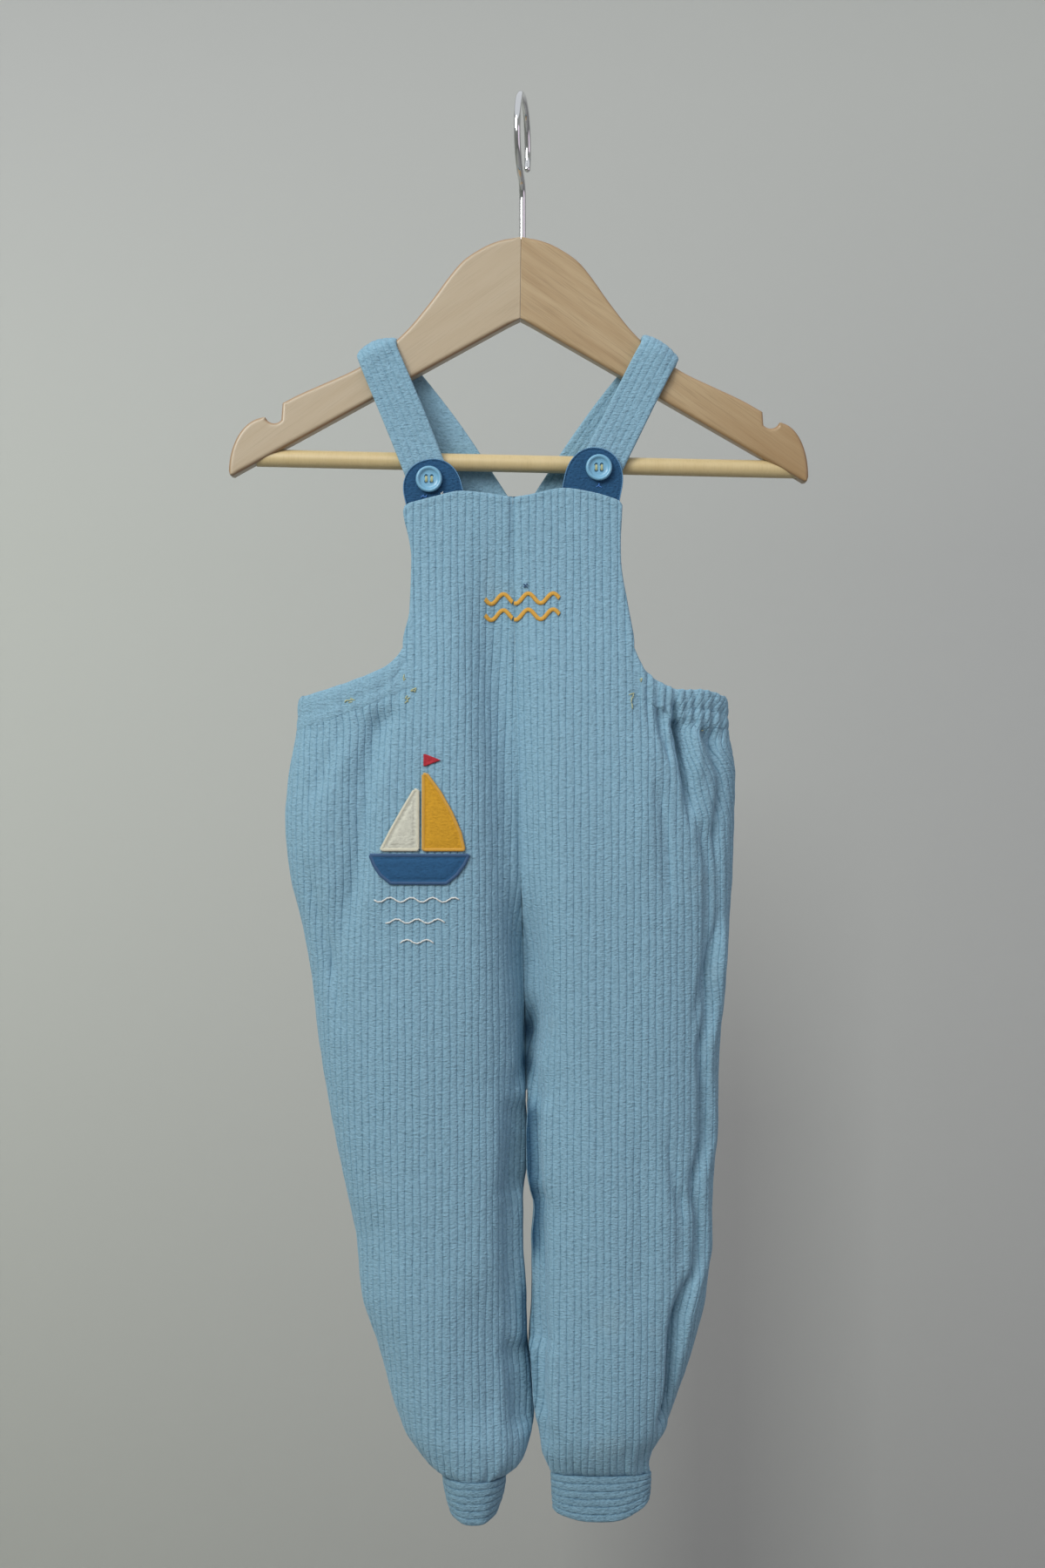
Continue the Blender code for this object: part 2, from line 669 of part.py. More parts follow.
def make_back_casing(group):
    """One band from side seam to side seam, through the centre of the back."""
    part = np.linspace(0, 1, CASING_ROWS + 1)[:, None]
    skins = []
    for half in SIDES:
        level = np.full(INNER_COLUMNS + OUTER_COLUMNS + 1, WAIST_DROP[half])
        reference = panel_columns(half, level[0])
        x, _ = section(half, "back", level, reference)
        drops = casing_edge("back", "upper", x) * (1 - part) + casing_edge("back", "lower", x) * part
        opening = np.radians(level_at(half, "opening", drops))
        across = (reference - reference[0]) / (np.pi - reference[0])
        angles = opening + (np.pi - opening) * across
        skins.append(casing_skins(half, "back", drops, angles))
    outer = np.concatenate([skins[0][0][:, :0:-1], skins[1][0]], axis=1)
    inner = np.concatenate([skins[0][1][:, :0:-1], skins[1][1]], axis=1)
    cells = np.ones((outer.shape[0] - 1, outer.shape[1] - 1), bool)
    wall("casing_back", outer, inner, cells, material("velour", 0.9), group)


# ---------------------------------------------------------------- straps, tabs and buttons
def spread_along(points, count):
    """Evenly spaced points, count steps, on a smooth curve through the given ones."""
    steps = np.linalg.norm(np.diff(points[:, :3], axis=0), axis=1)
    along = np.concatenate([[0], np.cumsum(steps)])
    at = np.linspace(0, along[-1], count + 1)
    return np.stack([catmull(along, points[:, k], at) for k in range(points.shape[1])], axis=1)


def catmull(along, values, at):
    """A smooth curve through each (along, value) whose slope there is its neighbours'."""
    tangents = np.gradient(values, along)
    k = np.clip(np.searchsorted(along, at) - 1, 0, len(along) - 2)
    step = along[k + 1] - along[k]
    t = (at - along[k]) / step
    rest = 1 - t
    return (
        values[k] * (1 + 2 * t) * rest**2
        + values[k + 1] * (3 - 2 * t) * t**2
        + step * t * rest * (tangents[k] * rest - tangents[k + 1] * t)
    )


def make_strap(half, group):
    stops = np.array([(stop.x, stop.depth, -stop.drop, stop.lean) for stop in STRAPS[half]])
    path = spread_along(stops, STRAP_STEPS)
    middle = path[:, :3]
    lean = np.radians(path[:, 3])
    forward = np.gradient(middle, axis=0)
    forward /= np.linalg.norm(forward, axis=1, keepdims=True)
    rise = -OUTWARD[half] * np.sin(lean)
    cross = np.stack([np.cos(lean), np.zeros_like(lean), rise], axis=1)
    cross -= forward * np.sum(cross * forward, axis=1, keepdims=True)
    cross /= np.linalg.norm(cross, axis=1, keepdims=True)
    away = np.cross(forward, cross)
    sides = np.array([-0.5, 0.5]) * STRAP_WIDE
    plane = middle[:, None, :] + sides[None, :, None] * cross[:, None, :]
    lift = away[:, None, :] * STRAP_THICK / 2
    cells = np.ones((STRAP_STEPS, 1), bool)
    wall(f"strap_{half}", plane + lift, plane - lift, cells, material("velour", 0.9), group)


def make_tab(half, group):
    tab = TABS[half]
    tilt = math.radians(tab.tilt)
    rise = np.sin(np.linspace(0, 1, TAB_ROWS + 1) * np.pi / 2)
    up = -tab.tuck + (tab.height + tab.tuck) * rise
    bend = np.clip((rise - TAB_STRAIGHT) / (1 - TAB_STRAIGHT), 0, TAB_BLUNT)
    half_wide = tab.half_wide * (1 - bend**TAB_ROUNDNESS) ** (1 / TAB_ROUNDNESS)
    across = np.linspace(-1, 1, TAB_ACROSS + 1)
    u = half_wide[:, None] * across[None, :]
    v = np.repeat(up[:, None], across.size, axis=1)
    x = tab.x + u * math.cos(tilt) - v * math.sin(tilt)
    z = -tab.drop + u * math.sin(tilt) + v * math.cos(tilt)
    front = np.stack([x, np.full_like(x, TAB_DEPTH - TAB_THICK / 2), z], axis=-1)
    back = front + np.array([0, TAB_THICK, 0])
    cells = np.ones((TAB_ROWS, TAB_ACROSS), bool)
    wall(f"tab_{half}", front, back, cells, material("tab_cloth", 0.85), group)


def turned(name, section_rows, radius, thick, group, finish):
    mesh = bpy.data.meshes.new(name)
    points = [(row.radius * radius * MM, 0.0, row.height * thick * MM) for row in section_rows]
    mesh.from_pydata(points, [(k, k + 1) for k in range(len(points) - 1)], [])
    thing = add_object(name, mesh, group, finish)
    screw = thing.modifiers.new("turn", "SCREW")
    screw.steps = BUTTON_STEPS
    screw.render_steps = BUTTON_STEPS
    screw.use_merge_vertices = True
    screw.merge_threshold = 0.00001
    return thing


def make_button(half, group, cutters):
    place = BUTTONS[half]
    face = TAB_DEPTH - TAB_THICK / 2 - FIT_GAP
    finish = material("button", 0.35)
    name = f"button_{half}"
    button = turned(name, BUTTON_SECTION, BUTTON_RADIUS, BUTTON_THICK, group, finish)
    stand = Matrix.Rotation(math.radians(90), 4, "X")
    button.matrix_world = Matrix.Translation(Vector((place.x, face, -place.drop)) * MM) @ stand
    for k in range(4):
        turn = math.radians(45 + 90 * k)
        reach = BUTTON_HOLE_SPACING / 2 * math.sqrt(2)
        spot = Vector((place.x + reach * math.cos(turn), face, -place.drop + reach * math.sin(turn)))
        hole = cylinder(f"{name}_hole_{k}", BUTTON_HOLE_RADIUS, 4 * BUTTON_THICK, 8, cutters)
        hole.matrix_world = Matrix.Translation(spot * MM) @ stand
        cut(button, hole)


def cylinder(name, radius, length, sides, group, finish=None):
    mesh = bpy.data.meshes.new(name)
    work = bmesh.new()
    bmesh.ops.create_cone(
        work,
        cap_ends=True,
        segments=sides,
        radius1=radius * MM,
        radius2=radius * MM,
        depth=length * MM,
    )
    work.to_mesh(mesh)
    work.free()
    thing = bpy.data.objects.new(name, mesh)
    group.objects.link(thing)
    if finish:
        mesh.materials.append(finish)
        mesh.shade_smooth()
        mesh.set_sharp_from_angle(angle=math.radians(40))
    else:
        as_cutter(thing)
    return thing


def as_cutter(thing):
    thing.hide_render = True
    thing.display_type = "WIRE"


def cut(thing, cutter):
    step = thing.modifiers.new("cut", "BOOLEAN")
    step.operation = "DIFFERENCE"
    step.solver = "EXACT"
    step.object = cutter


# ---------------------------------------------------------------- cuffs and appliqué
def make_cuff(half, group):
    cuff = CUFFS[half]
    turn = np.linspace(0, 2 * np.pi, CUFF_AROUND, endpoint=False)
    power = 2 / SIDE_FULLNESS
    part = np.linspace(0, 1, CUFF_ROWS + 1)[:, None]
    narrow = cuff.taper * part**2
    x_out = signed_power(np.cos(turn), power)[None, :]
    y_out = signed_power(np.sin(turn), power)[None, :]
    rise = np.where(x_out < 0, cuff.rise_left, cuff.rise_right) * np.abs(x_out) ** CUFF_RISE_POWER
    drop = cuff.top + (cuff.bottom - cuff.top - rise) * part

    def skin(inset):
        wide = cuff.half_wide - narrow - inset
        deep = cuff.half_deep - narrow * CUFF_DEEP_TAPER - inset
        return np.stack([cuff.x + wide * x_out, deep * y_out, -drop], axis=-1)

    cells = np.ones((CUFF_ROWS, CUFF_AROUND), bool)
    finish = material("velour", 0.9)
    wall(f"cuff_{half}", skin(0.0), skin(CUFF_THICK), cells, finish, group, ring=True)


def make_patch(name, finish, group):
    rows = PATCHES[name]
    drop = np.array(column(rows, "drop"))
    fine = np.linspace(drop[0], drop[-1], 2 * len(rows) - 1)
    start = np.interp(fine, drop, column(rows, "start"))
    stop = np.interp(fine, drop, column(rows, "stop"))
    across = np.linspace(0, 1, PATCH_ACROSS + 1)[None, :]
    x = start[:, None] * (1 - across) + stop[:, None] * across
    drops = np.repeat(fine[:, None], PATCH_ACROSS + 1, axis=1)
    angles = angle_at("left", drops, x)
    normals = outward("left", "front", drops, angles)
    base = settled("left", "front", form("left", "front", drops, angles))
    inner = base + normals * PATCH_LIFT
    outer = inner + normals * PATCH_THICK
    cells = np.ones((len(fine) - 1, PATCH_ACROSS), bool)
    wall(name, outer, inner, cells, finish, group)


# ---------------------------------------------------------------- the hanger
def tilted(tilt):
    return Matrix.Rotation(tilt, 4, "Y")


def arc(centre, radii, start, sweep, steps):
    """Places round an arc, anticlockwise for a positive sweep."""
    turns = start + sweep * np.arange(steps + 1) / steps
    reach = centre.reach + radii.reach * np.cos(turns)
    drop = centre.drop - radii.drop * np.sin(turns)
    return list(zip(reach, drop))


def arm_outline(half):
    """Points round one arm, from past the middle out along the top and back underneath."""
    shift = NOTCH_SHIFT[half]
    end = ARM_CROWN[-1].reach - shift
    reach = np.linspace(0, end, round(end / CROWN_STEP) + 1)
    top = smooth_curve(column(ARM_CROWN, "reach"), column(ARM_CROWN, "drop"), reach)
    round_notch = Crown(NOTCH_RADIUS, NOTCH_RADIUS)
    notch_centre = Crown(NOTCH_CENTRE.reach - shift, NOTCH_CENTRE.drop)
    notch = arc(notch_centre, round_notch, NOTCH_START, NOTCH_SWEEP, NOTCH_STEPS)
    centre = Crown(SHOULDER_CENTRE.reach - shift, SHOULDER_CENTRE.drop)
    radii = Crown(SHOULDER_RADII.reach + shift, SHOULDER_RADII.drop)
    shoulder = arc(centre, radii, SHOULDER_START, -SHOULDER_START, SHOULDER_STEPS)
    slope = (ARM_TIP.drop - ARM_UNDERSIDE.drop) / ARM_TIP.reach
    return (
        [(-ARM_OVERRUN, ARM_CROWN[0].drop)]
        + list(zip(reach, top))
        + notch[1:-1]
        + shoulder
        + [(ARM_TIP.reach, ARM_TIP.drop - ARM_TIP_ROUND.drop)]
        + [(ARM_TIP.reach - ARM_TIP_ROUND.reach, ARM_TIP.drop)]
        + [(-ARM_OVERRUN, ARM_UNDERSIDE.drop - ARM_OVERRUN * slope)]
    )


def make_arm(half, group, cutters):
    side = OUTWARD[half]
    finish = material("wood", 0.45)
    outline = [(side * reach * MM, -drop * MM) for reach, drop in arm_outline(half)]
    mesh = bpy.data.meshes.new(f"hanger_arm_{half}")
    work = bmesh.new()
    ring = [work.verts.new((x, -ARM_THICK / 2 * MM, z)) for x, z in outline]
    face = work.faces.new(ring)
    grown = bmesh.ops.extrude_face_region(work, geom=[face])["geom"]
    moved = [item for item in grown if isinstance(item, bmesh.types.BMVert)]
    bmesh.ops.translate(work, verts=moved, vec=(0, ARM_THICK * MM, 0))
    bmesh.ops.recalc_face_normals(work, faces=work.faces)
    work.to_mesh(mesh)
    work.free()
    mesh.shade_smooth()
    mesh.set_sharp_from_angle(angle=math.radians(40))
    arm = add_object(f"hanger_arm_{half}", mesh, group, finish)
    arm.matrix_world = tilted(HANGER_TILT)
    round_off = arm.modifiers.new("round", "BEVEL")
    round_off.width = ARM_EDGE * MM
    round_off.segments = 2
    round_off.limit_method = "ANGLE"
    round_off.angle_limit = math.radians(60)
    trim = box(f"trim_{half}", TRIM_SIZE, cutters)
    trim_middle = Vector((side * (SEAM_GAP - TRIM_SIZE[0]) / 2, 0, -ARM_CROWN[0].drop))
    trim.matrix_world = tilted(HANGER_TILT) @ Matrix.Translation(trim_middle * MM)
    cut(arm, trim)
    deep = BAR_REACH[half] + FIT_GAP
    socket = cylinder(f"socket_{half}", BAR_RADIUS + FIT_GAP, deep, 24, cutters)
    socket.matrix_world = bar_place(deep / 2 * side)
    cut(arm, socket)
    bore = cylinder(f"bore_{half}", WIRE_RADIUS + FIT_GAP, 2 * BORE_DEEP, 16, cutters)
    bore.matrix_world = Matrix.Translation(Vector((0, 0, BORE_DEEP - BORE_END_DROP)) * MM)
    cut(arm, bore)


def box(name, size, group):
    mesh = bpy.data.meshes.new(name)
    work = bmesh.new()
    bmesh.ops.create_cube(work, size=1.0)
    bmesh.ops.scale(work, vec=Vector(size) * MM, verts=work.verts)
    work.to_mesh(mesh)
    work.free()
    thing = bpy.data.objects.new(name, mesh)
    group.objects.link(thing)
    as_cutter(thing)
    return thing


def bar_place(along):
    """The bar's frame, this far along it from its middle."""
    middle = Matrix.Translation(Vector((0, 0, -BAR_DROP)) * MM)
    lie = Matrix.Rotation(math.radians(90), 4, "Y")
    return middle @ tilted(BAR_TILT) @ Matrix.Translation(Vector((along, 0, 0)) * MM) @ lie


def make_bar(group):
    left, right = BAR_REACH["left"], BAR_REACH["right"]
    bar = cylinder("hanger_bar", BAR_RADIUS, left + right, 24, group, material("wood", 0.45))
    bar.matrix_world = bar_place((right - left) / 2)


def hook_route():
    """The wire's middle line: the shank, the bend forward and the bow over the rail."""
    centre_drop = HOOK_RADIUS - WIRE_RADIUS
    bend = HOOK_RADIUS * math.cos(HOOK_LEAD) / (1 - math.cos(HOOK_LEAD))
    bend_drop = centre_drop + (HOOK_RADIUS + bend) * math.sin(HOOK_LEAD)
    route = [(0.0, -SHANK_END_DROP), (0.0, -(bend_drop + SHANK_STRAIGHT)), (0.0, -bend_drop)]
    for k in range(1, HOOK_LEAD_STEPS):
        turn = HOOK_LEAD * k / HOOK_LEAD_STEPS
        route.append((-bend * (1 - math.cos(turn)), -bend_drop + bend * math.sin(turn)))
    for k in range(HOOK_BOW_STEPS + 1):
        turn = -HOOK_LEAD + (HOOK_END + HOOK_LEAD) * k / HOOK_BOW_STEPS
        route.append(
            (-HOOK_RADIUS * math.cos(turn), -centre_drop + HOOK_RADIUS * math.sin(turn))
        )
    return route


def make_hook(group):
    route = hook_route()
    curve = bpy.data.curves.new("hanger_hook", "CURVE")
    curve.dimensions = "3D"
    curve.bevel_depth = WIRE_RADIUS * MM
    curve.bevel_resolution = 3
    curve.use_fill_caps = True
    spline = curve.splines.new("POLY")
    spline.points.add(len(route) - 1)
    for point, (y, z) in zip(spline.points, route):
        x = y * math.tan(HOOK_TURN)
        point.co = (x * MM, y * MM, z * MM, 1.0)
    add_object("hanger_hook", curve, group, material("wire", 0.15, 1.0))


# ---------------------------------------------------------------- assembly
def main():
    clear_scene()
    parts = make_collection("bib_overalls_on_hanger")
    cutters = make_collection("cutters")
    for half in SIDES:
        for face in FACING:
            make_panel(half, face, parts)
        make_front_casing(half, parts)
        make_strap(half, parts)
        make_tab(half, parts)
        make_button(half, parts, cutters)
        make_cuff(half, parts)
        make_arm(half, parts, cutters)
    make_back_casing(parts)
    make_bar(parts)
    make_hook(parts)
    for name, felt in PATCH_FELT.items():
        make_patch(name, material(felt, 0.9), parts)


main()
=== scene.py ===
"""Looks of a toddler's bib overalls on a child's wooden hanger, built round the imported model.

Axes are the frame's: +X to the right and +Z up for someone facing the bib, +Y towards the back,
origin at the hook's seat. Tables are in millimetres. A drop is a depth below the origin.
"""

from collections import namedtuple
import math

import bmesh
import bpy
from mathutils import Matrix, Vector
import numpy as np


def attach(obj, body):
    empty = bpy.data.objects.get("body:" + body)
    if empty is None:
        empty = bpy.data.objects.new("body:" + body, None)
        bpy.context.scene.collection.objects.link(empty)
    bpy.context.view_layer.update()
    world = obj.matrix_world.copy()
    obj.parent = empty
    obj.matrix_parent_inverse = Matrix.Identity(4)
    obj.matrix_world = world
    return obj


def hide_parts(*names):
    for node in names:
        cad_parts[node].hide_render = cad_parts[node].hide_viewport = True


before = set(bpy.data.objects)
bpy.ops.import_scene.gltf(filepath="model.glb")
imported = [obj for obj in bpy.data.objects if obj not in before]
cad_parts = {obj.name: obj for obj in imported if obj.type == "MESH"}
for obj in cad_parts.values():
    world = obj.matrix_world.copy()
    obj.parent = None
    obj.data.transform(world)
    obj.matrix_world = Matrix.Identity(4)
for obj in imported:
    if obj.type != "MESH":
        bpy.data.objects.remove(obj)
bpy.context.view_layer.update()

MM = 0.001

# ---------------------------------------------------------------- the garment's sizes
# How square the sections are: 2 makes an ellipse, and more is squarer.
SIDE_FULLNESS = 2.3
# Within this much turn, in radians, and this distance of the centre seam, folds push straighter.
SEAM_PLANE_REACH = 0.6
INNER_PLANE_REACH = 9.0
# The steps of angle and drop over which a slope is measured.
SLOPE_TURN = 0.012
SLOPE_DROP = 1.0
SEAM_GAP = 0.05
WAIST_DROP = {"left": 325.5, "right": 327.9}
CROTCH_DROP = 546.0
HEM_DROP = 757.0
# Rows follow the casing's edge at the waist and are level this far below it.
SHIFT_REACH = 85.0

SIDES = ("left", "right")
OUTWARD = {"left": -1.0, "right": 1.0}
FACING = {"front": -1.0, "back": 1.0}

# One row for each level of half the garment: centre seam or inseam, bib edge, side seam, how
# far the cloth stands out in front and behind, and the centre seam's angle on the section.
Level = namedtuple("Level", "drop inner mid side front back opening")
LEVELS = {
    "left": (
        Level(214, -5.4, -66.5, -121, 14.5, 14.5, 90),
        Level(231, -5.2, -65.1, -121, 15.3, 15.6, 90),
        Level(245, -5.1, -61.9, -121, 16.0, 16.5, 90),
        Level(254, -5.0, -60.8, -121, 16.5, 17.0, 90),
        Level(283, -4.6, -61.7, -121, 19.0, 20.0, 90),
        Level(301, -4.2, -65.3, -122, 21.5, 22.0, 88),
        Level(325, -3.8, -59.2, -123, 24.5, 25.0, 84),
        Level(348, -3.2, -60.0, -124.5, 26.5, 27.0, 80),
        Level(372, -2.4, -61.0, -128.6, 28.0, 29.0, 75),
        Level(398, -1.8, -62.0, -130.8, 29.0, 31.0, 70),
        Level(426, -1.0, -62.0, -128.4, 29.0, 32.0, 64),
        Level(455, 0.0, -60.0, -121.5, 28.5, 31.5, 56),
        Level(484, 0.8, -57.0, -116.2, 28.0, 30.0, 46),
        Level(512, 1.4, -55.0, -113.0, 27.5, 28.5, 32),
        Level(530, 1.7, -54.0, -110.4, 27.0, 27.5, 20),
        Level(546, 1.9, -52.0, -107.7, 26.5, 27.0, 0),
        Level(556, 2.3, -51.2, -106.0, 26.3, 26.8, 0),
        Level(570, 3.4, -50.0, -103.4, 26.0, 26.5, 0),
        Level(588, 3.0, -49.0, -99.7, 25.7, 26.2, 0),
        Level(603, 0.8, -48.0, -96.4, 25.5, 26.0, 0),
        Level(628, 0.7, -46.0, -92.0, 25.0, 25.5, 0),
        Level(657, 2.4, -43.0, -89.3, 25.0, 25.3, 0),
        Level(685, 3.2, -40.0, -80.8, 24.5, 25.1, 0),
        Level(700, 5.8, -37.5, -76.6, 24.2, 25.0, 0),
        Level(714, 7.0, -35.0, -72.2, 24.0, 25.0, 0),
        Level(724, 7.0, -33.0, -68.6, 24.0, 25.0, 0),
        Level(734, 5.2, -31.0, -64.8, 24.0, 24.9, 0),
        Level(745, 2.0, -29.0, -57.6, 23.5, 24.5, 0),
        Level(752, -2.0, -27.5, -52.0, 22.6, 23.6, 0),
        Level(757, -8.6, -26.5, -44.6, 21.6, 21.6, 0),
    ),
    "right": (
        Level(214, -5.4, 55.0, 112, 14.5, 14.5, 90),
        Level(231, -5.2, 54.4, 112, 15.3, 15.6, 90),
        Level(245, -5.1, 53.7, 112, 16.0, 16.5, 90),
        Level(254, -5.0, 53.8, 112, 16.5, 17.0, 90),
        Level(283, -4.6, 58.2, 112, 19.0, 20.0, 90),
        Level(301, -4.2, 61.1, 112.5, 21.5, 22.0, 88),
        Level(325, -3.8, 57.9, 113, 24.5, 25.0, 84),
        Level(348, -3.2, 57.0, 114, 26.5, 27.0, 80),
        Level(372, -2.4, 57.0, 117.6, 28.0, 29.0, 75),
        Level(398, -1.8, 57.0, 117.0, 29.0, 31.0, 70),
        Level(426, -1.0, 57.0, 116.3, 29.0, 32.0, 64),
        Level(455, 0.0, 56.0, 114.2, 28.5, 31.5, 56),
        Level(484, 0.8, 55.0, 112.0, 28.0, 30.0, 46),
        Level(512, 1.4, 54.0, 109.4, 27.5, 28.5, 32),
        Level(530, 1.7, 54.0, 108.4, 27.0, 27.5, 20),
        Level(546, 1.9, 54.0, 107.7, 26.5, 27.0, 0),
        Level(556, 2.2, 54.0, 107.4, 26.3, 26.8, 0),
        Level(570, 1.6, 54.0, 106.8, 26.0, 26.5, 0),
        Level(588, 1.8, 54.0, 105.9, 25.7, 26.2, 0),
        Level(601, 3.6, 54.0, 105.2, 25.4, 25.9, 0),
        Level(611, 5.6, 53.7, 104.7, 25.3, 25.8, 0),
        Level(628, 4.3, 53.0, 103.9, 25.0, 25.5, 0),
        Level(657, 4.6, 52.0, 101.5, 24.5, 25.0, 0),
        Level(685, 3.0, 49.0, 94.8, 24.0, 24.5, 0),
        Level(700, 4.4, 47.4, 90.6, 23.3, 24.0, 0),
        Level(714, 5.4, 46.0, 86.1, 22.5, 23.5, 0),
        Level(724, 6.4, 45.5, 82.6, 21.4, 22.4, 0),
        Level(734, 8.6, 45.0, 78.5, 20.0, 21.0, 0),
        Level(745, 10.2, 44.0, 72.0, 16.5, 17.5, 0),
        Level(752, 13.0, 43.5, 70.6, 13.0, 13.5, 0),
        Level(757, 14.6, 43.3, 72.0, 10.2, 10.2, 0),
    ),
}

Edge = namedtuple("Edge", "x drop")
BIB_TOP = (
    Edge(-66.4, 231.6),
    Edge(-65.4, 228.4),
    Edge(-64.2, 226.0),
    Edge(-61.6, 224.2),
    Edge(-57.0, 222.9),
    Edge(-48.0, 220.6),
    Edge(-32.8, 217.5),
    Edge(-4.8, 220.8),
    Edge(22.8, 216.0),
    Edge(40.0, 218.6),
    Edge(49.0, 221.2),
    Edge(52.8, 222.8),
    Edge(54.4, 224.9),
    Edge(55.4, 228.0),
)

CasingRow = namedtuple("CasingRow", "x upper lower")
CASINGS = {
    "left": (
        CasingRow(-59, 294.0, 325.5),
        CasingRow(-62, 297.8, 325.5),
        CasingRow(-65, 302.6, 326.6),
        CasingRow(-68, 307.4, 328.0),
        CasingRow(-72, 311.4, 329.8),
        CasingRow(-80, 316.0, 333.2),
        CasingRow(-93, 321.0, 338.3),
        CasingRow(-108, 325.8, 343.2),
        CasingRow(-118, 328.6, 346.2),
        CasingRow(-123, 330.2, 347.6),
    ),
    "right": (
        CasingRow(54, 293.0, 327.9),
        CasingRow(58, 296.5, 327.9),
        CasingRow(61, 303.0, 329.2),
        CasingRow(64, 310.6, 330.8),
        CasingRow(68, 316.6, 333.0),
        CasingRow(73, 320.6, 335.8),
        CasingRow(80, 324.0, 339.4),
        CasingRow(87, 325.6, 342.0),
        CasingRow(95, 325.4, 344.2),
        CasingRow(103, 326.2, 346.0),
        CasingRow(110, 328.6, 347.2),
        CasingRow(113, 330.2, 347.6),
    ),
    "back": (
        CasingRow(-123, 328.8, 347.6),
        CasingRow(-60, 319.0, 338.0),
        CasingRow(-4, 314.0, 333.0),
        CasingRow(50, 319.0, 338.0),
        CasingRow(113, 328.8, 347.6),
    ),
}

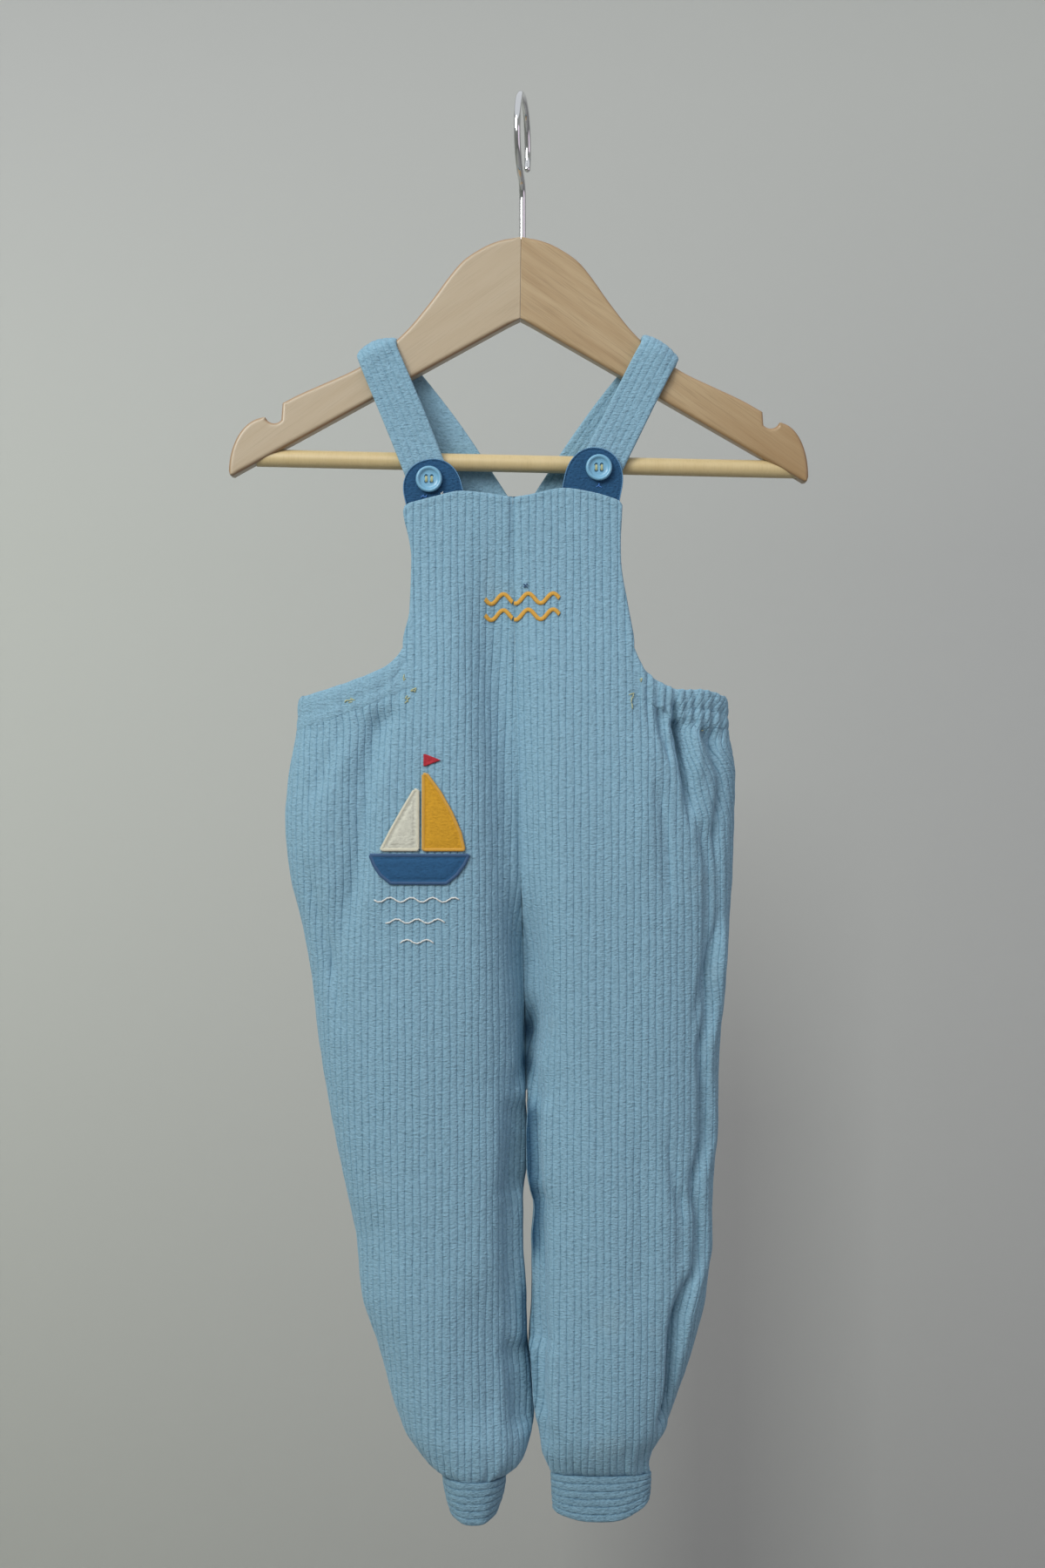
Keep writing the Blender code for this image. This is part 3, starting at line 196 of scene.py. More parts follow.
# Folds and creases: a path of (x, drop), how far the cloth is pushed out (in, if negative),
# the fold's reach to its left and right, how keen its crest is (2 is round, 1 a sharp one) and
# over what length it fades in above and out below.
Fold = namedtuple("Fold", "path push reach keen ends", defaults=((26.0, 26.0),))
FOLDS = {
    ("both", "front"): (
        Fold(
            ((-17, 216), (-14, 305), (-9, 349), (-4.5, 401), (0, 472), (3, 528), (2.5, 575)),
            -12.5, (15, 15), 2.0, (120, 125),
        ),
        Fold(((-2, 425), (2.4, 470), (4.6, 500), (4.2, 536)), -9.5, (8.5, 8.5), 3.0, (60, 34)),
        Fold(((4.6, 490), (3.6, 522), (2.4, 540), (1.8, 550)), -13.0, (5.0, 4.2), 3.0, (40, 22)),
        Fold(((3.0, 500), (2.2, 526), (1.8, 544)), -5.0, (2.6, 2.8), 2.4, (18, 16)),
    ),
    ("left", "front"): (
        Fold(((2, 520), (2, 560), (0, 620), (4, 690), (3, 752)), -7.5, (11, 8), 2.0, (70, 34)),
        Fold(((-16, 630), (-15, 690), (-17, 745)), -4.5, (10, 11), 2.0, (50, 34)),
        Fold(
            ((-70, 334), (-76, 343), (-81, 355), (-85, 376), (-88.5, 413), (-97, 453), (-102, 490)),
            -5.0, (8, 7), 1.8, (12, 60),
        ),
        Fold(((-84, 342), (-103, 378), (-113, 430)), 1.4, (7, 7), 2.0),
        Fold(((-101, 350), (-109, 372), (-117, 396)), -1.6, (5, 4), 1.6),
        Fold(((-121, 412), (-115, 440), (-107, 470), (-102, 500)), -2.6, (3, 5), 1.5),
        Fold(((-110, 452), (-104, 482), (-98, 520)), -1.5, (3, 5), 1.6),
        Fold(((-74, 356), (-80, 400), (-79, 460)), 1.0, (7, 7), 2.0),
        Fold(((-84, 600), (-80, 650), (-66, 720)), -2.0, (10, 10), 2.0),
        Fold(((-24, 640), (-30, 690), (-32, 742)), -1.6, (9, 9), 2.0),
        Fold(((-6, 596), (-3, 606), (0, 618)), -1.6, (3, 3), 1.5),
        Fold(((-9, 672), (-3, 686), (1, 700)), -1.8, (3.5, 3.5), 1.5),
    ),
    ("right", "front"): (
        Fold(((2, 520), (2, 560), (4, 620), (5, 690), (9, 748)), -15.0, (8, 6.0), 2.2, (44, 34)),
        Fold(((83, 330), (86, 349), (88, 378)), -4.0, (2.4, 2.4), 2.0, (10, 20)),
        Fold(((95, 392), (101, 430), (100, 470), (93, 512)), -2.6, (2.6, 5), 1.8, (16, 20)),
        Fold(((107, 400), (109, 440), (106, 500)), 2.2, (3.4, 3.4), 2.0, (20, 30)),
        Fold(((72, 372), (78, 410), (80, 452)), -1.8, (4, 3), 1.8, (16, 24)),
        Fold(
            ((82, 341), (83.4, 346), (85.8, 354), (87.1, 364), (88.4, 374), (92, 406)),
            -7.4, (1.8, 5.2), 1.4, (5, 34),
        ),
        Fold(((75, 335), (75.4, 348), (78.1, 358), (80, 370)), -3.6, (1.6, 3.4), 1.4, (5, 16)),
        Fold(((98, 345), (99.5, 352), (103, 358), (106, 374)), -3.2, (2, 3.6), 1.5, (5, 14)),
        Fold(((94, 343), (95.5, 360), (96, 384)), 2.0, (4, 3), 2.0, (6, 16)),
        Fold(((104, 346), (104.4, 364)), -3.0, (3.4, 3.2), 2.0, (8, 8)),
        Fold(((66, 340), (68, 372), (66, 430)), 1.4, (8, 8), 2.0),
        Fold(
            (
                (99, 351), (106, 366), (108, 381), (105.4, 403), (107.6, 428), (108, 446),
                (103.4, 470), (100.4, 486), (101.2, 497), (96.6, 525), (98.5, 543), (98.5, 567),
                (93.0, 596), (95.8, 614), (94.8, 640), (88.6, 653), (81.6, 677), (80.4, 708),
                (73, 736),
            ),
            -3.4, (2.0, 3.4), 1.6,
        ),
        Fold(
            (
                (111, 446), (108, 470), (107, 497), (102, 525), (104, 567), (99, 596), (101, 630),
                (94, 656), (87, 690), (80, 730),
            ),
            2.4, (2.6, 3.0), 2.0,
        ),
        Fold(((78, 560), (82, 592), (86, 620), (84, 652)), -1.6, (2.6, 4), 1.6, (20, 20)),
        Fold(((90, 640), (82.5, 672), (81, 708), (74, 734)), -4.5, (2.4, 6), 1.6, (30, 14)),
        Fold(((34, 650), (36, 700), (40, 748)), -1.5, (8, 8), 2.0),
        Fold(((12, 592), (9, 606), (6, 622)), -1.8, (3, 3), 1.5),
        Fold(((16, 660), (13, 684), (9, 712)), -1.4, (4, 4), 1.7),
        Fold(((86, 594), (87, 604), (89, 616)), -1.8, (3, 3), 1.6),
        Fold(((62, 560), (66, 610), (64, 668)), -1.2, (7, 7), 2.0),
    ),
    ("both", "back"): (
        Fold(((-4, 345), (-2, 430), (2, 545)), -5.0, (14, 14), 2.0),
    ),
    ("left", "back"): (
        Fold(((-40, 350), (-66, 410), (-92, 470)), -3.0, (9, 6), 1.8),
        Fold(((-26, 346), (-34, 392), (-50, 440)), -2.0, (6, 4), 1.7),
        Fold(((-78, 352), (-88, 384), (-104, 420)), -2.2, (6, 4), 1.7),
        Fold(((-70, 520), (-60, 590), (-56, 650)), -2.4, (10, 10), 2.0),
        Fold(((-20, 548), (-34, 580), (-60, 604)), -2.2, (6, 5), 1.7),
        Fold(((-30, 640), (-34, 700), (-30, 745)), -1.8, (8, 8), 2.0),
    ),
    ("right", "back"): (
        Fold(((42, 350), (60, 405), (88, 480)), -3.2, (6, 9), 1.8),
        Fold(((22, 346), (26, 380), (38, 430)), -2.0, (4, 6), 1.7),
        Fold(((76, 352), (84, 390), (100, 428)), -2.4, (4, 6), 1.7),
        Fold(((72, 515), (66, 600), (60, 660)), -2.2, (10, 10), 2.0),
        Fold(((24, 550), (40, 584), (66, 606)), -2.0, (5, 6), 1.7),
        Fold(((30, 600), (36, 670), (44, 740)), -1.8, (8, 8), 2.0),
    ),
}

# How strong the cloth's soft swell is, and the most of a fold's length that one fade takes.
SWELL = 0.5
FADE_MOST = 0.45

# Puckers under the elastic: where each valley starts, how deep and wide it is, how far down it
# runs and how far it drifts sideways on its way.
Pucker = namedtuple("Pucker", "x depth wide reach drift")
PUCKERS = {
    ("left", "front"): (
        Pucker(-68, 0.8, 2.6, 20, -4),
        Pucker(-76, 1.0, 3.0, 34, -7),
        Pucker(-87, 0.6, 2.4, 16, -3),
        Pucker(-97, 0.9, 2.8, 26, -5),
        Pucker(-108, 0.7, 2.4, 18, -2),
        Pucker(-117, 0.6, 2.4, 14, 0),
    ),
    ("right", "front"): (
        Pucker(62.5, 1.1, 2.0, 24, 2),
        Pucker(68, 1.7, 1.8, 30, 3),
        Pucker(73.5, 2.6, 1.9, 22, 2),
        Pucker(78.5, 2.0, 1.6, 12, 1),
        Pucker(83.5, 3.2, 2.1, 30, 1),
        Pucker(89.5, 2.6, 1.7, 14, 1),
        Pucker(94, 3.0, 1.9, 12, 1),
        Pucker(99.5, 2.0, 1.6, 14, 1),
        Pucker(104.5, 2.4, 1.8, 16, 1),
        Pucker(109.5, 1.2, 1.4, 12, 0),
    ),
    ("left", "back"): (
        Pucker(-9, 1.4, 2.6, 26, -1),
        Pucker(-17, 2.0, 3.0, 44, -4),
        Pucker(-27, 1.3, 2.4, 20, -2),
        Pucker(-35, 1.8, 2.8, 36, -5),
        Pucker(-45, 2.2, 3.2, 52, -8),
        Pucker(-54, 1.2, 2.4, 22, -2),
        Pucker(-62, 1.7, 2.8, 34, -4),
        Pucker(-72, 2.1, 3.0, 46, -6),
        Pucker(-82, 1.4, 2.6, 24, -2),
        Pucker(-91, 1.8, 2.8, 38, -4),
        Pucker(-101, 1.2, 2.4, 20, -1),
        Pucker(-110, 1.5, 2.4, 28, -1),
        Pucker(-118, 0.8, 2.0, 16, 0),
    ),
    ("right", "back"): (
        Pucker(2, 1.5, 2.6, 28, 1),
        Pucker(11, 2.1, 3.0, 42, 3),
        Pucker(20, 1.3, 2.4, 20, 1),
        Pucker(29, 1.9, 2.8, 38, 5),
        Pucker(38, 1.5, 2.6, 24, 3),
        Pucker(47, 2.3, 3.2, 54, 8),
        Pucker(57, 1.3, 2.4, 22, 2),
        Pucker(66, 1.8, 2.8, 34, 4),
        Pucker(76, 2.1, 3.0, 48, 6),
        Pucker(85, 1.3, 2.4, 22, 2),
        Pucker(94, 1.7, 2.6, 34, 2),
        Pucker(102, 1.1, 2.2, 18, 1),
        Pucker(109, 0.8, 1.8, 14, 0),
    ),
}
CUFF_GATHER_DEEP = 1.5
CUFF_GATHER_WAVES = ((9.0, 0.6, 0.0), (14.0, 0.4, 1.3), (23.0, 0.25, 2.1))
CUFF_GATHER_REACH = 26.0

# The ribbed cloth: the ribs' pitch and depth, and one rib's height at a few places across it.
RIB_PITCH = 4.05
RIB_DEEP = 0.48
RibPoint = namedtuple("RibPoint", "share height")
RIB_SECTION = (
    RibPoint(0.00, 0.0),
    RibPoint(0.09, 0.58),
    RibPoint(0.24, 0.93),
    RibPoint(0.50, 1.0),
    RibPoint(0.76, 0.93),
    RibPoint(0.91, 0.58),
)
RIB_WANDER = 0.36
WANDER_FADE = 4.0
RIB_SWELL = 0.26
# Painted shade: cloth that is folded more than this far in is painted darker, and all the more so further
# in.
PAINTED_SHADE_START = 17.0
PAINTED_SHADE_DEEP = 16.0
# Where the legs touch, one edge lies a little in front of the other.
LEG_TOUCH = ((547, 606), (680, 734))
LEG_STEP = 5.4
LEG_STEP_FADE = 10.0
LEG_STEP_REACH = 18.0
# Inner edges of the legs that lie in the other leg's shade: from and to which drop, how far out
# from the edge, and how dark.
Shade = namedtuple("Shade", "half start stop reach dark")
SHADES = (
    Shade("left", 512, 552, 4.5, 1.0),
    Shade("right", 512, 552, 6.5, 1.0),
    Shade("right", 538, 650, 9.0, 1.0),
    Shade("left", 560, 640, 3.0, 0.3),
    Shade("left", 640, 728, 6.5, 0.9),
    Shade("right", 646, 728, 4.0, 0.6),
    Shade("left", 704, 754, 8.0, 0.5),
)
SHADE_FADE = 22.0

# A distance that is past the reach of every edge, and the rounds that place a slanting edge.
FAR = 99.0
EDGE_ROUNDS = 6
# How much lower and darker ribs are in a groove, and the palest the inside is on a rib.
GROOVE_FIRMS = 0.5
GROOVE_DARK = 0.6
CASING_GROOVE_DARK = 0.25
INNER_HEIGHT = 0.6
# Near the centre seam the cloth faces straight out, and below the crotch it doesn't.
SEAM_SHUT_REACH = 6.0
CROTCH_FADE = 8.0
# What is left of half the thickness at a rounded edge.
PANEL_EDGE_LEFT = 0.15
BAND_EDGE_LEFT = 0.1
# The back's centre seam lies a little beside the front's, so no light comes through both.
BACK_SEAM_SHIFT = 0.7
REFERENCE_X = {"left": -27.0, "right": 44.0}
PANEL_THICK = 1.7
EDGE_ROUND = 1.1
SEAM_DIP = 1.5
SEAM_DIP_REACH = 1.9
HEM_STITCH = 4.6
HEM_DEEP = 0.16
HEM_PLUMP = 0.2
HEM_PLUMP_FADE = 1.0
ARMHOLE_TURN = 1.5
GROOVE_DEEP = 0.75
CASING_SEAM_SHARE = {"left": 0.12, "right": 0.4, "back": 0.5}
GROOVE_REACH = 0.9
CUFF_GROOVE_REACH = 1.6 * GROOVE_REACH
JOINT_REACH = 1.6
JOINT_SHARE = 0.2
ROW_STEP = 3.2
NEAR_EDGE_STEPS = (0.0, 0.35, 0.9, 1.8)
TABLE_STEP = 4.0
TABLE_ANGLES = 420

CASING_THICK = 2.6
CASING_PROUD = 0.55
CASING_STITCH = 10.6
CASING_DEEP = 22.0
CASING_EDGE_DIP = 0.6
CASING_GROOVE = 0.22
CASING_RIBS = {"left": 0.55, "right": 0.9, "back": 0.8}
CASING_WAVE = 0.35
CASING_LOWER_BAND = 0.5
CASING_END_FADE = 7.0
BIB_MEETS_CASING = {"left": 302.0, "right": 303.2}

STRAP_WIDE = 23.5
STRAP_THICK = 3.0
STRAP_RIBS = 6
STRAP_STEPS = 170
TAB_DEPTH = -10.0
TAB_THICK = 1.8
BUTTON_RADIUS = 7.25
BUTTON_THICK = 3.0
FIT_GAP = 0.3


# ---------------------------------------------------------------- small tools
def cubic(along, values, tangents, at):
    """A curve through each (along, value) that has these tangents there."""
    k = np.clip(np.searchsorted(along, at) - 1, 0, len(along) - 2)
    step = along[k + 1] - along[k]
    t = (at - along[k]) / step
    rest = 1 - t
    return (
        values[k] * (1 + 2 * t) * rest**2
        + values[k + 1] * (3 - 2 * t) * t**2
        + step * t * rest * (tangents[k] * rest - tangents[k + 1] * t)
    )


def smooth_curve(along, values, at):
    """A monotone cubic through each (along, value), with no overshoot between two of them."""
    along = np.asarray(along, float)
    values = np.asarray(values, float)
    steps = np.diff(along)
    slopes = np.diff(values) / steps
    tangents = np.zeros_like(values)
    product = slopes[:-1] * slopes[1:]
    total = slopes[:-1] + slopes[1:]
    rising = product > 0
    tangents[1:-1][rising] = 2 * product[rising] / total[rising]
    tangents[0] = slopes[0]
    tangents[-1] = slopes[-1]
    return cubic(along, values, tangents, np.clip(at, along[0], along[-1]))


def column(table, field):
    return [getattr(row, field) for row in table]


def signed_power(value, power):
    return np.sign(value) * np.abs(value) ** power


def smooth_step(value):
    value = np.clip(value, 0.0, 1.0)
    return value * value * (3 - 2 * value)


def fading(at, start, stop, reach_in, reach_out):
    """1 from start to stop, but rising over the first reach and falling over the last."""
    return smooth_step((at - start) / reach_in) * smooth_step((stop - at) / reach_out)


def hump(distance, reach):
    return np.exp(-((distance / reach) ** 2))


def unit(vectors, least=0.0):
    """The vectors, each scaled to length 1."""
    return vectors / np.maximum(np.linalg.norm(vectors, axis=-1, keepdims=True), least)


def lengths_along(x, y):
    """How far along a line of places each of them lies."""
    return np.concatenate([[0], np.cumsum(np.hypot(np.diff(x), np.diff(y)))])


def edge_roll(distance, reach):
    """How far a skin is drawn in near a rounded edge, as a share of the rounding."""
    inside = np.clip(1 - distance / reach, 0, 1)
    return 1 - np.sqrt(1 - inside**2)


def ripple(x, drop, seed):
    """A soft uneven swell, about -1 to 1, longer down the cloth than across it."""
    waves = (
        (0.061, 0.0130, 0.3),
        (-0.097, 0.0210, 1.9),
        (0.143, -0.0170, 4.1),
        (0.029, 0.0370, 2.6),
    )
    total = np.zeros(np.broadcast(x, drop).shape)
    for k, (by_x, by_drop, phase) in enumerate(waves):
        total += np.sin(by_x * x + by_drop * drop + phase + seed * (1.7 + k))
    return total / len(waves)


# ---------------------------------------------------------------- the garment's form
def level_at(half, field, drop):
    table = LEVELS[half]
    return smooth_curve(column(table, "drop"), column(table, field), drop)


def bib_top(x):
    """The drop of the bib's top edge at x."""
    return smooth_curve(column(BIB_TOP, "x"), column(BIB_TOP, "drop"), x)


def section(half, face, drop, angle):
    """Where the plain form lies at this angle round the section: x and y in millimetres."""
    inner = level_at(half, "inner", drop)
    side = level_at(half, "side", drop)
    opening = np.radians(level_at(half, "opening", drop))
    power = 2 / SIDE_FULLNESS
    half_wide = (inner - side) / (1 + signed_power(np.cos(opening), power))
    x = side + half_wide * (1 + signed_power(np.cos(angle), power))
    y = FACING[face] * level_at(half, face, drop) * signed_power(np.sin(angle), power)
    for start, stop in LEG_TOUCH:
        level = fading(drop, start, stop, LEG_STEP_FADE, LEG_STEP_FADE)
        y = y - OUTWARD[half] * LEG_STEP * level * smooth_step(1 - np.abs(x - inner) / LEG_STEP_REACH)
    return x, y


def angle_at(half, drop, x):
    """The angle at which the section passes x."""
    inner = level_at(half, "inner", drop)
    side = level_at(half, "side", drop)
    opening = np.radians(level_at(half, "opening", drop))
    half_wide = (inner - side) / (1 + signed_power(np.cos(opening), 2 / SIDE_FULLNESS))
    across = np.clip((x - side) / half_wide - 1, -1, 1)
    return np.arccos(signed_power(across, SIDE_FULLNESS / 2))


def fold_push(half, face, x, drop):
    """How far folds and the cloth's soft swell push it out of the plain form."""
    push = SWELL * ripple(x, drop, 1 + 2 * FACING[face])
    for fold in FOLDS[("both", face)] + FOLDS[(half, face)]:
        path_x, path_drop = zip(*fold.path)
        long = path_drop[-1] - path_drop[0]
        ends = (min(end, FADE_MOST * long) for end in fold.ends)
        fade = fading(drop, path_drop[0], path_drop[-1], *ends)
        away = x - smooth_curve(path_drop, path_x, drop)
        away = np.where(away < 0, -away / fold.reach[0], away / fold.reach[1])
        push = push + fold.push * fade * np.exp(-(away**fold.keen))
    return push


def casing_edge(which, field, x):
    table = sorted(CASINGS[which], key=lambda row: row.x)
    edge = smooth_curve(column(table, "x"), column(table, field), x)
    if field == "upper":
        return edge
    past_bib = smooth_step((np.abs(x + 4) - 58) / 8)
    return edge + CASING_WAVE * past_bib * (np.sin(0.71 * x) + 0.7 * np.sin(1.37 * x + 1.1))


def waist_puckers(half, face, x, drop):
    """How far the puckers draw the cloth in, on the casing and below it."""
    which = half if face == "front" else "back"
    below = drop - casing_edge(which, "lower", x)
    on_casing = smooth_step(1 + below / CASING_DEEP)
    push = np.zeros(np.broadcast(x, drop).shape)
    for pucker in PUCKERS[(half, face)]:
        down = np.clip(below / pucker.reach, 0, 1)
        centre = pucker.x + pucker.drift * down
        fade = np.where(below < 0, 0.35 + 0.65 * on_casing, smooth_step(1 - down))
        wide = pucker.wide * (1 + 0.9 * down)
        push -= pucker.depth * fade * hump(x - centre, wide)
    return push


def cuff_gathers(half, face, angle, drop):
    """Gathers where the leg is drawn into its cuff."""
    wave = np.zeros(np.broadcast(angle, drop).shape)
    for count, share, phase in CUFF_GATHER_WAVES:
        turn = count * angle + phase + OUTWARD[half] + 2 * FACING[face]
        wave += share * (np.cos(turn) - 1) / 2
    near = smooth_step((drop - HEM_DROP) / CUFF_GATHER_REACH + 1)
    return CUFF_GATHER_DEEP * wave * near


def form(half, face, drop, angle):
    """Points of the cloth's outer skin with its folds and gathers, but without its ribs.

    Close to the centre seam the folds push straight forward or back, so the seam stays shut.
    """
    x, y = section(half, face, drop, angle)
    ahead_x, ahead_y = section(half, face, drop, angle + SLOPE_TURN)
    back_x, back_y = section(half, face, drop, angle - SLOPE_TURN)
    out_x = ahead_y - back_y
    out_y = back_x - ahead_x
    size = -OUTWARD[half] * FACING[face] * np.hypot(out_x, out_y)
    past_seam = angle - np.radians(level_at(half, "opening", drop))
    out_x = out_x * smooth_step(past_seam / SEAM_PLANE_REACH)
    out_x = out_x * smooth_step(np.abs(x - level_at(half, "inner", drop)) / INNER_PLANE_REACH)
    push = fold_push(half, face, x, drop)
    push = push + waist_puckers(half, face, x, drop) + cuff_gathers(half, face, angle, drop)
    z = np.broadcast_to(-np.asarray(drop, float), x.shape)
    return np.stack([x + push * out_x / size, y + push * out_y / size, z], axis=-1)


def outward(half, face, drop, angle):
    """The folded cloth's outward direction."""
    ahead = form(half, face, drop, angle + SLOPE_TURN)
    behind = form(half, face, drop, angle - SLOPE_TURN)
    below = form(half, face, drop + SLOPE_DROP, angle)
    above = form(half, face, drop - SLOPE_DROP, angle)
    return unit(np.cross(ahead - behind, below - above)) * OUTWARD[half] * FACING[face]


def settled(half, face, points):
    """Each quarter of the garment moves half a seam gap out."""
    return points + np.array([OUTWARD[half], FACING[face], 0.0]) * SEAM_GAP / 2


# ---------------------------------------------------------------- meshes
def add_mesh(name, points, faces, finish, creased=60.0):
    """A mesh piece from points in millimetres, smooth but for edges sharper than creased."""
    mesh = bpy.data.meshes.new(name)
    mesh.from_pydata((np.asarray(points) * MM).tolist(), [], faces)
    mesh.materials.append(finish)
    mesh.shade_smooth()
    mesh.set_sharp_from_angle(angle=math.radians(creased))
    piece = bpy.data.objects.new(name, mesh)
    bpy.context.scene.collection.objects.link(piece)
    return piece


def add_height(piece, heights):
    """Stores how high on its rib each point lies, and below 0 how deep in painted shade, for the cloth's
    colour.
    """
    layer = piece.data.attributes.new("rib", "FLOAT", "POINT")
    layer.data.foreach_set("value", np.asarray(heights, np.float32))


def face_sign(points, faces, normals):
    """1 if the faces turn the way of the normals, and -1 if they turn against them."""
    total = 0.0
    for face in faces[:: max(1, len(faces) // 400)]:
        a, b, c = (points[k] for k in face[:3])
        total += float(np.dot(np.cross(b - a, c - a), normals[face[0]]))
    return 1 if total > 0 else -1


def add_wall(name, outer, inner, faces, normals, heights, finish):
    """A closed wall of cloth between two skins that share their faces."""
    if face_sign(outer, faces, normals) < 0:
        faces = [tuple(reversed(face)) for face in faces]
    skin = len(outer)
    edges = set()
    for face in faces:
        edges.update(zip(face, face[1:] + face[:1]))
    rim = [(b, a, skin + a, skin + b) for a, b in sorted(edges) if (b, a) not in edges]
    back = [tuple(skin + k for k in reversed(face)) for face in faces]
    piece = add_mesh(name, np.concatenate([outer, inner]), faces + back + rim, finish)
    add_height(piece, np.concatenate([heights, np.minimum(heights, INNER_HEIGHT)]))
    return piece


def ring_faces(rows, columns, closed=True):
    """Squares between rows of points, each row a ring if closed."""
    faces = []
    for i in range(rows - 1):
        for j in range(columns if closed else columns - 1):
            k = (j + 1) % columns
            faces.append((i * columns + j, i * columns + k, (i + 1) * columns + k, (i + 1) * columns + j))
    return faces


def tube_faces(rows, columns):
    """The faces of a tube of rings that has a cap on each end."""
    count = rows * columns
    caps = [tuple(range(columns))[::-1], tuple(range(count - columns, count))]
    return ring_faces(rows, columns) + caps


def finished(piece, slot_name, *nodes):
    """The piece moves with the only body and stands for these nodes, whose imported parts it hides.
    slot_name is not used.
    """
    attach(piece, "root")
    if nodes:
        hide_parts(*nodes)
    return piece


# ---------------------------------------------------------------- ribbed panels
AngleTable = namedtuple("AngleTable", "half face drops angles lengths low high")


def angle_table(half, face):
    """For each drop, the angle against the length along the cloth from the reference line."""
    drops = np.arange(LEVELS[half][0].drop - 6, HEM_DROP + 2 * TABLE_STEP, TABLE_STEP)
    opening = np.radians(level_at(half, "opening", drops))[:, None]
    part = np.linspace(0, 1, TABLE_ANGLES)[None, :]
    angles = opening + (np.pi - opening) * part
    points = form(half, face, np.repeat(drops[:, None], TABLE_ANGLES, axis=1), angles)
    steps = np.hypot(np.diff(points[..., 0]), np.diff(points[..., 1]))
    lengths = np.concatenate([np.zeros((len(drops), 1)), np.cumsum(steps, axis=1)], axis=1)
    start = angle_at(half, drops, REFERENCE_X[half])
    for k, angle in enumerate(start):
        lengths[k] -= np.interp(angle, angles[k], lengths[k])
    return AngleTable(half, face, drops, angles, lengths, lengths[:, 0], lengths[:, -1])


def between_rows(table, values, drop):
    """Values given for each of the table's drops and each column, read at these drops."""
    where = np.clip((drop - table.drops[0]) / TABLE_STEP, 0, len(table.drops) - 1.001)
    k = where.astype(int)
    t = where - k
    j = np.arange(values.shape[1])[None, :]
    return values[k, j] * (1 - t) + values[k + 1, j] * t


def looked_up(table, drops, values, known, wanted):
    """For each drop, what the wanted rows say where the known ones have this value."""
    found = []
    for drop, value in zip(drops, values):
        k = int(np.clip((drop - table.drops[0]) / TABLE_STEP, 0, len(table.drops) - 2))
        t = (drop - table.drops[k]) / TABLE_STEP
        above = np.interp(value, known[k], wanted[k])
        below = np.interp(value, known[k + 1], wanted[k + 1])
        found.append(above * (1 - t) + below * t)
    return np.array(found)


def length_of(table, drop, x):
    """The length along the cloth at which it passes x, at these drops."""
    return looked_up(table, drop, angle_at(table.half, drop, x), table.angles, table.lengths)


def rib_columns(table):
    """Places across the cloth, several to a rib, and the rib's height at each."""
    first = math.floor(table.low.min() / RIB_PITCH)
    last = math.ceil(table.high.max() / RIB_PITCH)
    lengths = [(k + p.share) * RIB_PITCH for k in range(first, last + 1) for p in RIB_SECTION]
    heights = [p.height for k in range(first, last + 1) for p in RIB_SECTION]
    return np.array(lengths), np.array(heights)


def rib_height(ribs):
    """How high the cloth stands this many ribs along: 0 in a groove and 1 on a crest."""
    shares = column(RIB_SECTION, "share") + [1.0]
    heights = column(RIB_SECTION, "height") + [RIB_SECTION[0].height]
    return np.interp(ribs % 1.0, shares, heights)


class Skin:
    """The points and faces of one piece of ribbed cloth, laid out in rows that cross the ribs.

    A row's points are its columns between its two ends. Columns past an end fall on the end.
    """

    def __init__(self, table):
        self.table = table
        self.lengths, self.heights = rib_columns(table)
        self.angles = np.stack(
            [np.interp(self.lengths, s, a) for s, a in zip(table.lengths, table.angles)]
        )
        self.drop = []
        self.length = []
        self.angle = []
        self.height = []
        self.count = 0
        self.faces = []

    def add(self, drop, length, angle, height):
        first = self.count
        self.drop.append(drop)
        self.length.append(length)
        self.angle.append(angle)
        self.height.append(height)
        self.count += len(drop)
        return np.arange(first, self.count)

    def add_end(self, drop, length):
        """End points, one for each row: the cloth's place at this length along it."""
        angle = looked_up(self.table, drop, length, self.table.lengths, self.table.angles)
        return self.add(drop, length, angle, rib_height(length / RIB_PITCH))

    def add_rows(self, drops, low, high, low_ids, high_ids, least=0.14):
        """Numbers the points of a block of rows. drops has a column for each rib column."""
        inside = (self.lengths > low[:, None] + least) & (self.lengths < high[:, None] - least)
        angles = between_rows(self.table, self.angles, drops)
        ids = np.where(self.lengths <= low[:, None] + least, low_ids[:, None], high_ids[:, None])
        rows = np.broadcast_to(self.lengths, drops.shape)[inside]
        heights = np.broadcast_to(self.heights, drops.shape)[inside]
        ids[inside] = self.add(drops[inside], rows, angles[inside], heights)
        return np.concatenate([low_ids[:, None], ids, high_ids[:, None]], axis=1)

    def fill(self, ids, extra=None):
        """Faces between rows. extra maps a top edge to a point that lies on it."""
        for upper, lower in zip(ids[:-1].tolist(), ids[1:].tolist()):
            for j in range(len(upper) - 1):
                face = [upper[j], upper[j + 1], lower[j + 1], lower[j]]
                if extra and (upper[j], upper[j + 1]) in extra:
                    face.insert(1, extra[(upper[j], upper[j + 1])])
                kept = [k for n, k in enumerate(face) if k != face[n - 1]]
                if len(kept) > 2:
                    self.faces.append(tuple(kept))

    def arrays(self):
        return (
            np.concatenate(self.drop),
            np.concatenate(self.length),
            np.concatenate(self.angle),
            np.concatenate(self.height),
        )


def near_edge_rows(start, stop, step):
    """Rows from start to stop, close together at the start."""
    first = start + np.array(NEAR_EDGE_STEPS)
    count = max(2, round((stop - first[-1]) / step))
    return np.concatenate([first[:-1], np.linspace(first[-1], stop, count + 1)])


def body_rows(half):
    waist = WAIST_DROP[half]
    upper = near_edge_rows(waist, HEM_DROP - 24, ROW_STEP)
    lower = np.linspace(HEM_DROP - 24, HEM_DROP - SEAM_GAP, 12)[1:]
    return np.concatenate([upper, lower])


